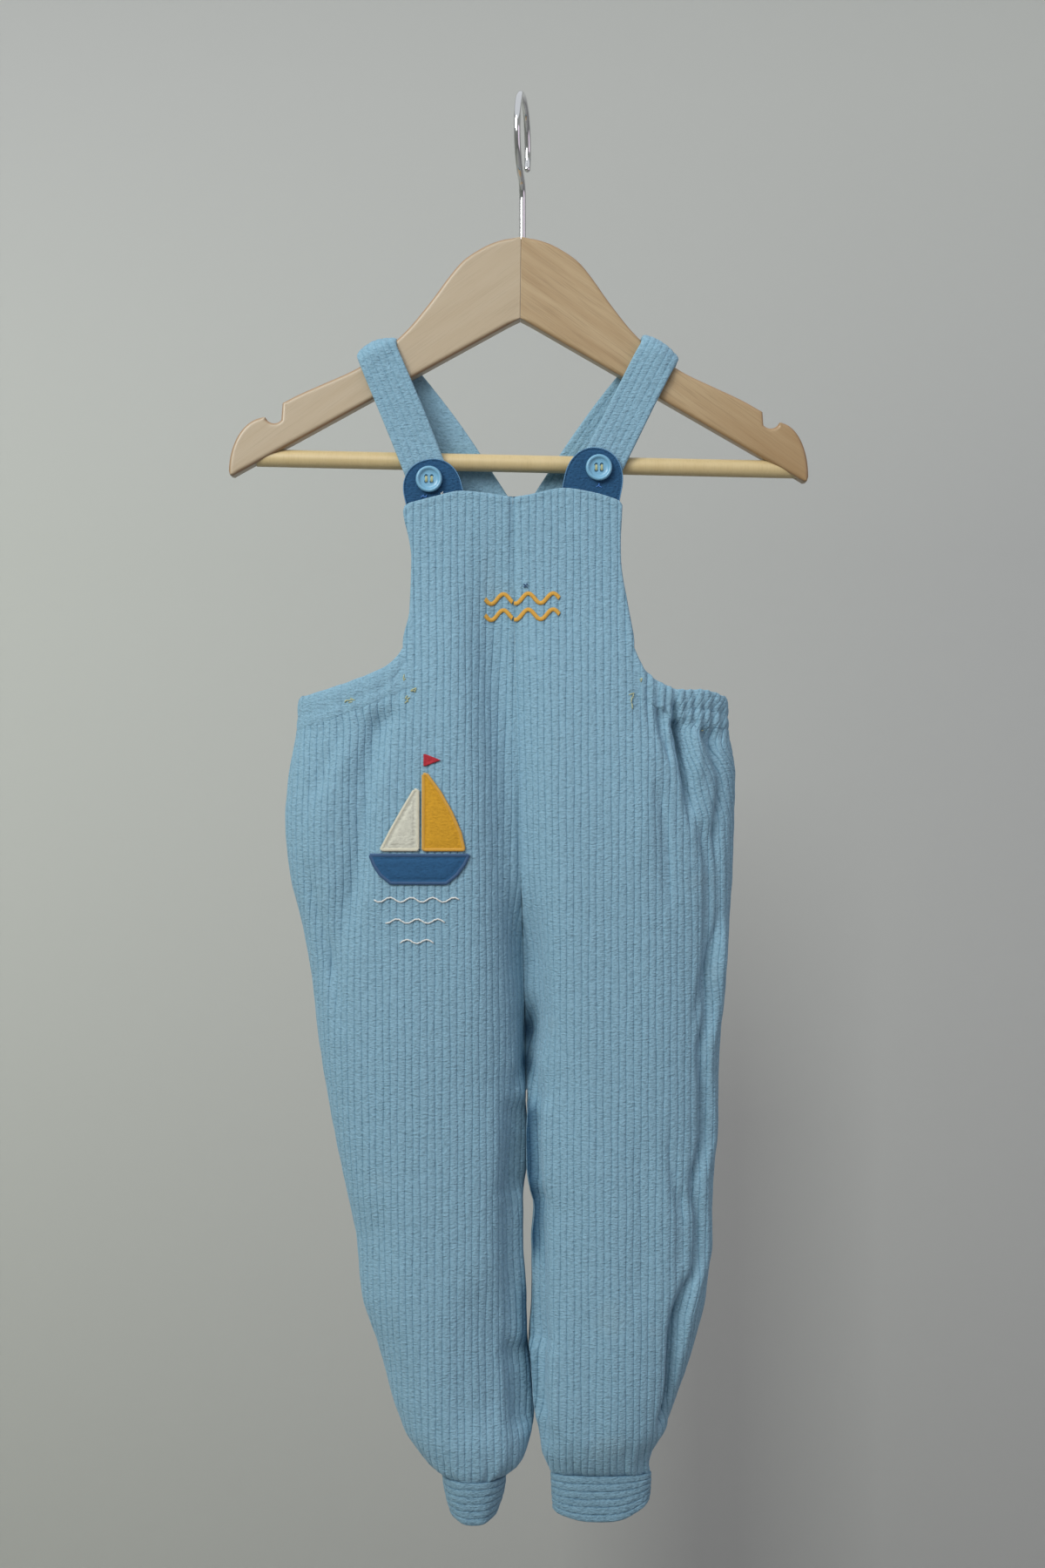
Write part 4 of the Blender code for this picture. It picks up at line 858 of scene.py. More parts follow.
def bib_rows():
    """Shares of the way from the bib's top edge to its foot, finer round the hem's stitches."""
    long = WAIST_DROP["left"] - BIB_TOP[3].drop
    hem = HEM_STITCH + np.array([-2.0, -1.0, -0.4, 0.4, 1.0, 2.0])
    upper = np.concatenate([NEAR_EDGE_STEPS, hem])
    count = round((long - upper[-1]) / ROW_STEP)
    return np.concatenate([upper[:-1], np.linspace(upper[-1], long, count + 1)]) / long


def wandered(length, drop):
    """Ribs wander a little from side to side, each in its own way."""
    rib = np.round(length / RIB_PITCH)
    return RIB_WANDER * (np.sin(drop / 23.0 + 2.1 * rib) + 0.6 * np.sin(drop / 9.0 + 5.3 * rib)) / 1.6


def rib_swell(length, drop):
    """Each rib is a little plumper here and there along its way."""
    rib = np.floor(length / RIB_PITCH)
    return RIB_SWELL * (np.sin(drop / 3.3 + 4.7 * rib) * np.sin(drop / 7.9 + 1.3 * rib))


def bib_edge(table, shares):
    """Where the bib's side edge crosses each row: its drop and length along the cloth."""
    half = table.half
    drop = np.full(len(shares), WAIST_DROP[half])
    for _ in range(EDGE_ROUNDS):
        top = bib_top(level_at(half, "mid", drop))
        drop = top * (1 - shares) + WAIST_DROP[half] * shares
    return drop, length_of(table, drop, level_at(half, "mid", drop))


def make_panel(half, face, finish):
    """A front or back panel of ribbed velour, from the bib's top or the casing to the cuff."""
    table = TABLES[(half, face)]
    skin = Skin(table)
    waist = WAIST_DROP[half]
    rows = body_rows(half)
    level = np.full((1, len(skin.lengths)), waist)
    x, _ = section(half, face, level[0], between_rows(table, skin.angles, level)[0])
    end_x = np.array([level_at(half, "inner", waist), level_at(half, "side", waist)])

    def start_at(place):
        if face == "back":
            return casing_edge("back", "lower", place) + SEAM_GAP
        past_bib = (place - level_at(half, "mid", waist)) * OUTWARD[half] > 0
        return np.where(past_bib, casing_edge(half, "lower", place) + SEAM_GAP, waist)

    fade = smooth_step(1 - (rows - waist) / SHIFT_REACH)
    drops = rows[:, None] + fade[:, None] * (start_at(x) - waist)
    low_drop = rows + fade * (start_at(end_x[:1])[0] - waist)
    high_drop = rows + fade * (start_at(end_x[1:])[0] - waist)
    low = np.interp(low_drop, table.drops, table.low)
    high = np.interp(high_drop, table.drops, table.high)
    ends = skin.add_end(low_drop, low), skin.add_end(high_drop, high)
    ids = skin.add_rows(drops, low, high, *ends)
    edge_length = None
    if face == "back":
        skin.fill(ids)
    else:
        shares = bib_rows()
        edge_drop, edge_length = bib_edge(table, shares)
        bib = bib_top(x)[None, :] * (1 - shares[:, None]) + waist * shares[:, None]
        inner_drop = bib_top(end_x[0]) * (1 - shares) + waist * shares
        inner_length = np.interp(inner_drop, table.drops, table.low)
        inner_ids = skin.add_end(inner_drop[:-1], inner_length[:-1])
        edge_ids = skin.add_end(edge_drop, edge_length)
        bib_ids = skin.add_rows(
            bib[:-1], inner_length[:-1], edge_length[:-1], inner_ids, edge_ids[:-1]
        )
        corner = edge_ids[-1]
        inside = skin.lengths < edge_length[-1]
        last = np.concatenate([ids[:1, :1], np.where(inside, ids[0, 1:-1], corner)[None], [[corner]]], 1)
        skin.fill(np.concatenate([bib_ids, last]))
        after = 1 + int(np.count_nonzero(inside))
        skin.fill(ids, {(int(ids[0, after - 1]), int(ids[0, after])): int(corner)})
    return dress_panel(skin, edge_length, finish)


def dress_panel(skin, edge_length, finish):
    """Gives the panel its ribs, seams and hem, and its thickness."""
    table = skin.table
    half, face = table.half, table.face
    drop, length, angle, height = skin.arrays()
    x, _ = section(half, face, drop, angle)
    low = np.interp(drop, table.drops, table.low)
    high = np.interp(drop, table.drops, table.high)
    seam = np.minimum(length - low, high - length)
    free = np.full(len(drop), FAR)
    groove = np.zeros(len(drop))
    plump = np.zeros(len(drop))
    joint = np.zeros(len(drop))
    above = drop < WAIST_DROP[half] - 0.01
    if face == "front":
        top = bib_top(x)
        edge_drop, _ = bib_edge(table, bib_rows())
        side = np.interp(drop, edge_drop, edge_length) - length
        below_armhole = np.maximum(drop - BIB_MEETS_CASING[half], 0)
        joint = np.where(above & (below_armhole > 0), hump(side, JOINT_REACH), 0)
        side = np.hypot(side, ARMHOLE_TURN * below_armhole)
        free = np.where(above, np.minimum(drop - top, side), free)
        groove = np.where(above, HEM_DEEP * hump(drop - top - HEM_STITCH, GROOVE_REACH), 0)
        plump = np.where(above, smooth_step((HEM_STITCH - (drop - top)) / HEM_PLUMP_FADE), 0)
        seam = np.where(above, length - low, seam)
    which = half if face == "front" else "back"
    casing = casing_edge(which, "lower", x)
    past_bib = (x - level_at(half, "mid", drop)) * OUTWARD[half] > 0
    under = (~above) & (past_bib | (face == "back"))
    share = CASING_SEAM_SHARE[which]
    groove = np.maximum(groove, np.where(under, share * hump(drop - casing, GROOVE_REACH), 0))
    groove = np.maximum(groove, hump(HEM_DROP - drop, CUFF_GROOVE_REACH))
    firm = 1 - GROOVE_FIRMS * groove
    relief = RIB_DEEP * (height - 1 + rib_swell(length, drop) * height) * firm
    relief -= SEAM_DIP * hump(seam, SEAM_DIP_REACH)
    relief -= GROOVE_DEEP * (groove + JOINT_SHARE * joint)
    relief += HEM_PLUMP * plump
    normals = outward(half, face, drop, angle)
    shut = smooth_step(1 - (length - low) / SEAM_SHUT_REACH)
    shut = shut * smooth_step((CROTCH_DROP + CROTCH_FADE - drop) / CROTCH_FADE)
    normals[:, 0] *= 1 - shut
    normals = unit(normals)
    base = settled(half, face, form(half, face, drop, angle))
    if face == "back":
        base[:, 0] += BACK_SEAM_SHIFT * shut
    round_it = form(half, face, drop, angle + SLOPE_TURN) - base
    round_it[..., 2] = 0
    shift = wandered(length, drop) * smooth_step(np.minimum(seam, free) / WANDER_FADE)
    base = base + unit(round_it, 1e-6) * shift[:, None]
    roll = edge_roll(free, EDGE_ROUND) * (PANEL_THICK / 2 - PANEL_EDGE_LEFT)
    outer = base + normals * (relief - roll)[:, None]
    inner = base - normals * (PANEL_THICK - roll)[:, None]
    inner[:, 2] = np.maximum(inner[:, 2], SEAM_GAP - HEM_DROP)
    # Painted shade: deep in the folds, and on the legs' inner edges along the SHADES rows.
    painted_shade = smooth_step((-fold_push(half, face, x, drop) - PAINTED_SHADE_START) / PAINTED_SHADE_DEEP)
    edge_away = np.abs(x - level_at(half, "inner", drop))
    for shade in SHADES:
        if (shade.half, face) == (half, "front"):
            part = fading(drop, shade.start, shade.stop, SHADE_FADE, SHADE_FADE)
            painted_shade = np.maximum(painted_shade, shade.dark * part * smooth_step(1 - edge_away / shade.reach))
    # The painted shade lowers the rib height, down below 0, where the cloth's colour goes dark.
    height = height * (1 - GROOVE_DARK * groove) * (1 - painted_shade) - painted_shade
    name = f"cloth_{face}_{half}"
    return add_wall(name, outer, inner, skin.faces, normals, height, finish)


# ---------------------------------------------------------------- casings
def casing_top(half, face, which, x):
    """The casing's upper edge, which dips a little at each pucker."""
    upper = casing_edge(which, "upper", x)
    return upper - CASING_EDGE_DIP * waist_puckers(half, face, x, upper)


def casing_rows():
    near = np.array(NEAR_EDGE_STEPS)
    stitch = CASING_STITCH + np.array([-1.2, -0.5, 0.0, 0.5, 1.2])
    steps = np.concatenate([near, [3.6, 5.6, 7.8], stitch, [14.0, 16.0, 18.2, 20.0, 21.2, CASING_DEEP]])
    return steps / CASING_DEEP


def casing_half(half, which):
    """One half's stretch of a gathered casing: its two skins, faces, normals and rib heights."""
    face = "front" if which == half else "back"
    table = TABLES[(half, face)]
    skin = Skin(table)
    waist = WAIST_DROP[half]
    shares = casing_rows()
    level = np.full((1, len(skin.lengths)), waist)
    x, _ = section(half, face, level[0], between_rows(table, skin.angles, level)[0])

    def drops_at(place):
        upper = casing_top(half, face, which, place)
        lower = casing_edge(which, "lower", place)
        return upper[None, :] * (1 - shares[:, None]) + lower[None, :] * shares[:, None]

    if face == "front":
        low_drop = np.full(len(shares), waist)
        for _ in range(EDGE_ROUNDS):
            low_x = level_at(half, "mid", low_drop)
            low_drop = np.diagonal(drops_at(low_x)).copy()
        low = length_of(table, low_drop, level_at(half, "mid", low_drop))
    else:
        inner = np.array([level_at(half, "inner", waist)])
        low_drop = drops_at(inner)[:, 0]
        low = np.interp(low_drop, table.drops, table.low)
    side = np.array([level_at(half, "side", waist)])
    high_drop = drops_at(side)[:, 0]
    high = np.interp(high_drop, table.drops, table.high)
    ends = skin.add_end(low_drop, low), skin.add_end(high_drop, high)
    skin.fill(skin.add_rows(drops_at(x), low, high, *ends))

    drop, length, angle, height = skin.arrays()
    x, _ = section(half, face, drop, angle)
    free = np.maximum(drop - casing_top(half, face, which, x), 0)
    deep = casing_edge(which, "lower", x) - casing_top(half, face, which, x)
    low_end = np.interp(drop, low_drop, low)
    high_end = np.interp(drop, table.drops, table.high)
    channel = np.sin(np.pi * np.clip(free / CASING_STITCH, 0, 1))
    lower_band = np.sin(np.pi * np.clip((free - CASING_STITCH) / (deep - CASING_STITCH), 0, 1))
    groove = np.maximum(hump(free - CASING_STITCH, GROOVE_REACH), hump(deep - free, GROOVE_REACH))
    proud = CASING_PROUD * (channel + CASING_LOWER_BAND * lower_band)
    proud = proud * smooth_step((length - low_end) / CASING_END_FADE)
    deep = RIB_DEEP * CASING_RIBS[which]
    height = 1 - CASING_RIBS[which] * (1 - height)
    firm = 1 - GROOVE_FIRMS * groove
    relief = deep * (height - 1 + rib_swell(length, drop) * height) * firm + proud
    relief -= CASING_GROOVE * groove + SEAM_DIP * hump(high_end - length, SEAM_DIP_REACH)
    inner_dip = SEAM_DIP if face == "back" else JOINT_SHARE * GROOVE_DEEP
    relief -= inner_dip * hump(length - low_end, JOINT_REACH)
    normals = outward(half, face, drop, angle)
    base = settled(half, face, form(half, face, drop, angle))
    roll = edge_roll(free, CASING_THICK / 2) * (CASING_THICK / 2 - BAND_EDGE_LEFT)
    outer = base + normals * (relief - roll)[:, None]
    inner = base - normals * (CASING_THICK - roll)[:, None]
    return outer, inner, skin.faces, normals, height * (1 - CASING_GROOVE_DARK * groove)


def make_casing(which, finish):
    """The band at one armhole, or the one round the back, whose halves meet in its middle."""
    stretches = [casing_half(half, which) for half in SIDES if which in (half, "back")]
    outer, inner, normals, heights, faces = [], [], [], [], []
    count = 0
    for stretch in stretches:
        turned = stretch[2]
        if face_sign(stretch[0], turned, stretch[3]) < 0:
            turned = [tuple(reversed(face)) for face in turned]
        faces += [tuple(count + k for k in face) for face in turned]
        outer.append(stretch[0])
        inner.append(stretch[1])
        normals.append(stretch[3])
        heights.append(stretch[4])
        count += len(stretch[0])
    return add_wall(
        f"cloth_casing_{which}",
        np.concatenate(outer),
        np.concatenate(inner),
        faces,
        np.concatenate(normals),
        np.concatenate(heights),
        finish,
    )


# ---------------------------------------------------------------- straps
Stop = namedtuple("Stop", "x drop depth lean")
STRAPS = {
    "left": (
        Stop(-45.6, 224.0, -7.3, 22),
        Stop(-51.1, 211.0, -7.3, 22),
        Stop(-61.8, 184.0, -7.5, 22),
        Stop(-72.4, 158.5, -8.3, 23),
        Stop(-77.0, 147.6, -8.6, 24),
        Stop(-80.4, 138.8, -7.9, 24),
        Stop(-80.2, 135.2, 0.0, 22),
        Stop(-79.5, 138.2, 8.0, 28),
        Stop(-73.2, 147.0, 8.5, 33),
        Stop(-62.0, 161.0, 8.2, 33),
        Stop(-43.0, 186.0, 8.0, 33),
        Stop(-25.0, 212.5, 9.4, 33),
        Stop(0.0, 251.0, 12.7, 33),
        Stop(26.0, 291.0, 16.6, 33),
        Stop(45.0, 320.0, 17.6, 33),
        Stop(51.0, 329.5, 18.0, 33),
    ),
    "right": (
        Stop(35.8, 219.0, -7.3, 26),
        Stop(42.6, 204.7, -7.3, 26),
        Stop(54.4, 181.0, -7.5, 26),
        Stop(65.4, 159.0, -8.3, 26),
        Stop(71.2, 147.6, -8.6, 27),
        Stop(75.8, 139.2, -7.6, 31),
        Stop(76.2, 136.0, 0.0, 34),
        Stop(75.6, 138.8, 7.7, 33),
        Stop(71.4, 147.4, 8.5, 34),
        Stop(59.6, 161.0, 8.2, 34),
        Stop(39.0, 188.0, 8.0, 33),
        Stop(20.6, 215.5, 10.6, 33),
        Stop(-2.0, 251.0, 17.8, 33),
        Stop(-28.0, 290.0, 18.4, 33),
        Stop(-46.0, 317.5, 18.0, 33),
        Stop(-54.0, 329.5, 17.8, 33),
    ),
}
STRAP_EDGE = 1.45
STRAP_EDGE_SHARES = (0.12, 0.45, 0.95)
# The rib's height at the strap's rounded edges, and on the crests of its inner side.
STRAP_EDGE_HEIGHT = 0.9
STRAP_INNER_CREST = 0.92
# How far ribs sway and swell, the share that the width changes, and about how wide one rib is.
STRAP_SWAY = 0.3
STRAP_SWELL = 0.18
STRAP_BEADS = 0.08
STRAP_NARROWS = 0.012
STRAP_RIB = 4.0
STRAP_RELIEF = {"left": 0.30, "right": 0.27}
STRAP_SHADE = {"left": 0.82, "right": 0.85}
STRAP_INNER = {"left": 0.0, "right": 0.85}
STRAP_ARCH = {"left": 3.2, "right": 2.6}
STRAP_ARCH_REACH = 15.0


def catmull(along, values, at):
    """A smooth curve through each (along, value) whose slope there is its neighbours'."""
    return cubic(along, values, np.gradient(values, along), at)


def spread_along(points, count):
    """Evenly spaced points, count steps, on a smooth curve through the given ones."""
    steps = np.linalg.norm(np.diff(points[:, :3], axis=0), axis=1)
    along = np.concatenate([[0], np.cumsum(steps)])
    at = np.linspace(0, along[-1], count + 1)
    return np.stack([catmull(along, points[:, k], at) for k in range(points.shape[1])], axis=1)


def strap_frames(half):
    """Points down the strap's middle, with the directions across it and out of its right side."""
    stops = np.array([(stop.x, stop.depth, -stop.drop, stop.lean) for stop in STRAPS[half]])
    path = spread_along(stops, STRAP_STEPS)
    middle = path[:, :3]
    lean = np.radians(path[:, 3])
    forward = unit(np.gradient(middle, axis=0))
    rise = -OUTWARD[half] * np.sin(lean)
    cross = np.stack([np.cos(lean), np.zeros_like(lean), rise], axis=1)
    cross = unit(cross - forward * np.sum(cross * forward, axis=1, keepdims=True))
    return middle, cross, -np.cross(forward, cross)


def strap_section(relief, shade, inner):
    """One turn round the strap: place across, place through it and the rib's height.

    The ribs on the side towards the wearer are lower, by the share inner.
    """
    pitch = STRAP_WIDE / STRAP_RIBS
    across = [(k + point.share) * pitch for k in range(STRAP_RIBS) for point in RIB_SECTION]
    across = np.array(across + [STRAP_WIDE]) - STRAP_WIDE / 2
    edge = np.array(STRAP_EDGE_SHARES) * STRAP_EDGE
    across = np.concatenate([edge - STRAP_WIDE / 2, across[1:-1], STRAP_WIDE / 2 - edge[::-1]])
    across = np.unique(np.round(across, 4))
    height = rib_height((across + STRAP_WIDE / 2) / pitch)
    inside = np.clip((np.abs(across) - STRAP_WIDE / 2 + STRAP_EDGE) / STRAP_EDGE, 0, 1)
    round_off = np.sqrt(1 - inside**2)
    height = np.where(inside > 0, STRAP_EDGE_HEIGHT, height)
    out = STRAP_THICK / 2 * round_off - relief * (1 - height)
    back = STRAP_THICK / 2 * round_off - inner * relief * (1 - height)
    return (
        np.concatenate([across, across[::-1]]),
        np.concatenate([out, -back[::-1]]),
        np.concatenate(
            [1 - shade * (1 - height), STRAP_INNER_CREST - inner * (1 - height[::-1])]
        ),
    )


def make_strap(half, finish):
    middle, cross, out = strap_frames(half)
    across, through, height = strap_section(STRAP_RELIEF[half], STRAP_SHADE[half], STRAP_INNER[half])
    step = np.arange(STRAP_STEPS + 1)[:, None]
    share = across / STRAP_WIDE * 2
    crown = smooth_step(1 - (middle[:, 2].max() - middle[:, 2]) / STRAP_ARCH_REACH)
    arch = STRAP_ARCH[half] * crown[:, None] * (0.4 - share**2)[None, :]
    rib = np.round(across / STRAP_RIB)[None, :]
    sway = STRAP_SWAY * np.sin(step / 7.0 + rib * 1.7) * (1 - share**2)[None, :]
    wide = 1 + STRAP_NARROWS * np.sin(step / 9.0 + OUTWARD[half]) - STRAP_NARROWS
    swell = STRAP_SWELL * np.sin(step / 5.0 + across[None, :] / 6.0) * (through[None, :] > 0)
    swell += STRAP_BEADS * np.sin(step * 1.31 + rib * 2.3) * height[None, :]
    points = (
        middle[:, None, :]
        + cross[:, None, :] * (across[None, :] * wide + sway)[..., None]
        + out[:, None, :] * (through[None, :] + arch + np.minimum(swell - STRAP_SWELL, 0))[..., None]
    )
    ring = len(across)
    faces = ring_faces(STRAP_STEPS + 1, ring)
    faces.append(tuple(range(ring)))
    faces.append(tuple(range((STRAP_STEPS + 1) * ring - 1, STRAP_STEPS * ring - 1, -1)))
    outside = (out[:, None, :] * np.sign(through)[None, :, None]).reshape(-1, 3)
    points = points.reshape(-1, 3)
    if face_sign(points, faces[:-2], outside) < 0:
        faces = [tuple(reversed(face)) for face in faces]
    strap = add_mesh(f"cloth_strap_{half}", points, faces, finish)
    add_height(strap, np.tile(height, STRAP_STEPS + 1))
    return strap


# ---------------------------------------------------------------- cuffs
Cuff = namedtuple("Cuff", "x half_wide half_deep top bottom taper rise_left rise_right")
CUFFS = {
    "left": Cuff(-26.6, 18.0, 21.0, 757.0, 781.0, 4.2, 4.0, 4.6),
    "right": Cuff(43.3, 28.2, 9.8, 757.0, 782.5, 1.2, 4.6, 9.6),
}
CUFF_RISE_POWER = 2.4
CUFF_THICK = 2.4
CUFF_RIBS = 6
CUFF_AROUND = 168
CUFF_DEEP_TAPER = 0.4
CUFF_RELIEF = 0.4
CUFF_WAVE = 0.35
CUFF_RIPPLE = 0.2
CUFF_SAG = 0.3
CUFF_WANDER = 0.22
CUFF_SWELL = 0.07
# The outer skin lies this far inside the table's outline, and the cloth is at least so thick.
CUFF_INSET = 0.35
CUFF_LEAST_THICK = 0.15


def make_cuff(half, finish):
    """A band whose ribs run round the ankle."""
    cuff = CUFFS[half]
    turn = np.linspace(0, 2 * np.pi, CUFF_AROUND, endpoint=False)[None, :]
    power = 2 / SIDE_FULLNESS
    shares = [(k + point.share) / CUFF_RIBS for k in range(CUFF_RIBS) for point in RIB_SECTION]
    shares = np.unique(np.round(shares + [0.985, 0.995, 1.0], 4))
    part = shares[:, None]
    height = rib_height(part * CUFF_RIBS)
    height = np.where(part > 1 - 0.3 / CUFF_RIBS, 0.95, height)
    long = cuff.bottom - cuff.top
    roll = edge_roll((1 - part) * long, CUFF_THICK / 2) * (CUFF_THICK / 2 - BAND_EDGE_LEFT)
    narrow = cuff.taper * part**2
    middle = np.sin(np.pi * part)
    wave = CUFF_WAVE * np.sin(5 * turn + 0.8) * middle + CUFF_RIPPLE * np.sin(9 * turn)
    rise = np.where(np.cos(turn) < 0, cuff.rise_left, cuff.rise_right)
    rise = rise * np.abs(np.cos(turn)) ** (power * CUFF_RISE_POWER)
    drop = cuff.top + SEAM_GAP + (long - SEAM_GAP - rise) * part
    rib = np.floor(part * CUFF_RIBS)
    wander = CUFF_SAG * np.sin(2 * turn + 0.5) + CUFF_WANDER * np.sin(9 * turn + 2.3 * rib)
    drop = drop + wander * middle
    swell = CUFF_SWELL * np.sin(29 * turn + rib * 2.1) * height
    relief = CUFF_RELIEF * (height - 1) + swell - roll + wave * part - CUFF_INSET

    def skin(push):
        wide = cuff.half_wide - narrow + push
        deep = cuff.half_deep - narrow * CUFF_DEEP_TAPER + push
        x = cuff.x + wide * signed_power(np.cos(turn), power)
        y = deep * signed_power(np.sin(turn), power)
        return np.stack([x, y, -drop], axis=-1).reshape(-1, 3)

    outer = skin(relief)
    inner = skin(np.minimum(roll - CUFF_THICK - CUFF_INSET, relief - CUFF_LEAST_THICK))
    normals = np.stack([np.cos(turn), np.sin(turn), 0 * turn], axis=-1) + np.zeros(part.shape + (3,))
    faces = ring_faces(len(shares), CUFF_AROUND)
    heights = np.broadcast_to(height, relief.shape).reshape(-1)
    return add_wall(f"cloth_cuff_{half}", outer, inner, faces, normals.reshape(-1, 3), heights, finish)


# ---------------------------------------------------------------- threads
# A stitch's thickness along its way, as a share of the thread's.
StitchPlace = namedtuple("StitchPlace", "share fat")
STITCH_SECTION = (
    StitchPlace(0.0, 0.35),
    StitchPlace(0.12, 0.9),
    StitchPlace(0.5, 1.0),
    StitchPlace(0.88, 0.9),
    StitchPlace(1.0, 0.35),
)


def thread(name, starts, ends, normals, radius, finish, lift=0.3, sides=6):
    """Many short stitches as one mesh: each a thread from start to end that bows outward."""
    starts, ends, normals = (np.asarray(v, float).reshape(-1, 3) for v in (starts, ends, normals))
    along = unit(ends - starts, 1e-9)
    side = unit(np.cross(along, normals), 1e-9)
    out = np.cross(side, along)
    places = np.array(column(STITCH_SECTION, "share"))
    fat = np.array(column(STITCH_SECTION, "fat")) * radius
    bow = np.sin(np.pi * places) * lift
    turn = np.arange(sides) * 2 * np.pi / sides
    middle = starts[:, None, :] + (ends - starts)[:, None, :] * places[None, :, None]
    middle = middle + out[:, None, :] * bow[None, :, None]
    rings = (
        middle[:, :, None, :]
        + side[:, None, None, :] * (fat[:, None] * np.cos(turn)[None, :])[None, :, :, None]
        + out[:, None, None, :] * (fat[:, None] * np.sin(turn)[None, :])[None, :, :, None]
    )
    count = len(places) * sides
    one = [tuple(reversed(face)) for face in tube_faces(len(places), sides)]
    faces = [tuple(count * n + k for k in face) for n in range(len(starts)) for face in one]
    return add_mesh(name, rings.reshape(-1, 3), faces, finish)


def on_front(half, x, drop, lift):
    """Points this far above the front panel, and the way out of the cloth there."""
    x, drop = np.broadcast_arrays(np.asarray(x, float), np.asarray(drop, float))
    angle = angle_at(half, drop, x)
    normals = outward(half, "front", drop, angle)
    return settled(half, "front", form(half, "front", drop, angle)) + normals * lift, normals


def running(half, x, drop, lift, stitch, gap):
    """Running stitches along a line of places on the front panel."""
    x, drop = np.asarray(x, float), np.asarray(drop, float)
    along = lengths_along(x, drop)
    begin = np.arange(0, along[-1] - stitch, stitch + gap)
    at = [np.interp(begin + reach, along, x) for reach in (0, stitch)]
    down = [np.interp(begin + reach, along, drop) for reach in (0, stitch)]
    starts, normals = on_front(half, at[0], down[0], lift)
    ends, _ = on_front(half, at[1], down[1], lift)
    return starts, ends, normals


def satin(half, x, drop, wide, lift, spacing):
    """Stitches side by side across a line of places, as in satin stitch."""
    x, drop = np.asarray(x, float), np.asarray(drop, float)
    along = lengths_along(x, drop)
    at = np.arange(spacing / 2, along[-1], spacing)
    mid_x, mid_drop = np.interp(at, along, x), np.interp(at, along, drop)
    next_x, next_drop = np.interp(at + 0.3, along, x), np.interp(at + 0.3, along, drop)
    last_x, last_drop = np.interp(at - 0.3, along, x), np.interp(at - 0.3, along, drop)
    run_x, run_drop = next_x - last_x, next_drop - last_drop
    size = np.hypot(run_x, run_drop)
    skew = 0.35
    out_x = (-run_drop + skew * run_x) / size * wide / 2
    out_drop = (run_x + skew * run_drop) / size * wide / 2
    starts, normals = on_front(half, mid_x - out_x, mid_drop - out_drop, lift)
    ends, _ = on_front(half, mid_x + out_x, mid_drop + out_drop, lift)
    return starts, ends, normals


def joined(parts):
    return tuple(np.concatenate([part[k] for part in parts]) for k in range(3))


# ---------------------------------------------------------------- tabs and buttons
Place = namedtuple("Place", "x drop")
Groove = namedtuple("Groove", "deep reach")
Tab = namedtuple("Tab", "x drop height tuck half_wide tilt")
TABS = {
    "left": Tab(-48.2, 220.6, 21.0, 6.0, 16.2, 13),
    "right": Tab(37.6, 218.2, 25.0, 6.0, 16.2, -11),
}
TAB_GRID = (52, 56)
TAB_STRAIGHT = 0.35
TAB_ROUNDNESS = 2.2
TAB_STITCH = 1.5
TAB_OUTLINE_STEPS = 90
TAB_TOP = 0.9995
TAB_EDGE_ROUND = 0.9
TAB_EDGE_LEFT = 0.06
TAB_GROOVE = Groove(0.28, 0.45)
TAB_NAP = 0.10
TAB_INSET = 0.1
# The way that the tabs and the buttons on them face.
FORWARD = [0.0, -1.0, 0.0]
BUTTONS = {"left": Place(-51.1, 211.0), "right": Place(41.8, 204.7)}
BUTTON_HOLE_RADIUS = 0.92
BUTTON_HOLE_SPACING = 3.0
# The strands side by side in one bar of thread, and how far they sink into the holes.
STRANDS = (-0.42, -0.14, 0.14, 0.42)
STRAND_SKEW = 0.1
STRAND_SINK = 0.25
STRAND_PAST = 0.25
Turn = namedtuple("Turn", "radius height")
BUTTON_SECTION = (
    Turn(0.0, 0.54),
    Turn(0.50, 0.54),
    Turn(0.66, 0.62),
    Turn(0.74, 0.84),
    Turn(0.80, 0.97),
    Turn(0.88, 1.0),
    Turn(0.95, 0.90),
    Turn(0.985, 0.72),
    Turn(1.0, 0.50),
)


def tab_half_wide(tab, up):
    """How wide half the tab is, this far above its sewn edge."""
    rise = (up + tab.tuck) / (tab.height + tab.tuck)
    bend = np.clip((rise - TAB_STRAIGHT) / (1 - TAB_STRAIGHT), 0, 1)
    return tab.half_wide * (1 - bend**TAB_ROUNDNESS) ** (1 / TAB_ROUNDNESS)


def on_tab(half, u, v, lift):
    """A point of the tab's front: u across it, v above its sewn edge."""
    tab = TABS[half]
    tilt = math.radians(tab.tilt)
    x = tab.x + u * math.cos(tilt) - v * math.sin(tilt)
    z = -tab.drop + u * math.sin(tilt) + v * math.cos(tilt)
    return np.stack([x, TAB_DEPTH - TAB_THICK / 2 - lift + 0 * x, z], axis=-1)


def tab_outline(tab, inset=0.0):
    """Places round the tab from one end of its sewn edge to the other."""
    rise = np.sin(np.linspace(0, 1, TAB_OUTLINE_STEPS) * np.pi / 2)
    up = -tab.tuck + (tab.height + tab.tuck) * rise
    wide = tab_half_wide(tab, up)
    u = np.concatenate([-wide, wide[-2::-1]])
    v = np.concatenate([up, up[-2::-1]])
    run_u, run_v = np.gradient(u), np.gradient(v)
    size = np.maximum(np.hypot(run_u, run_v), 1e-9)
    return u + inset * run_v / size, v - inset * run_u / size


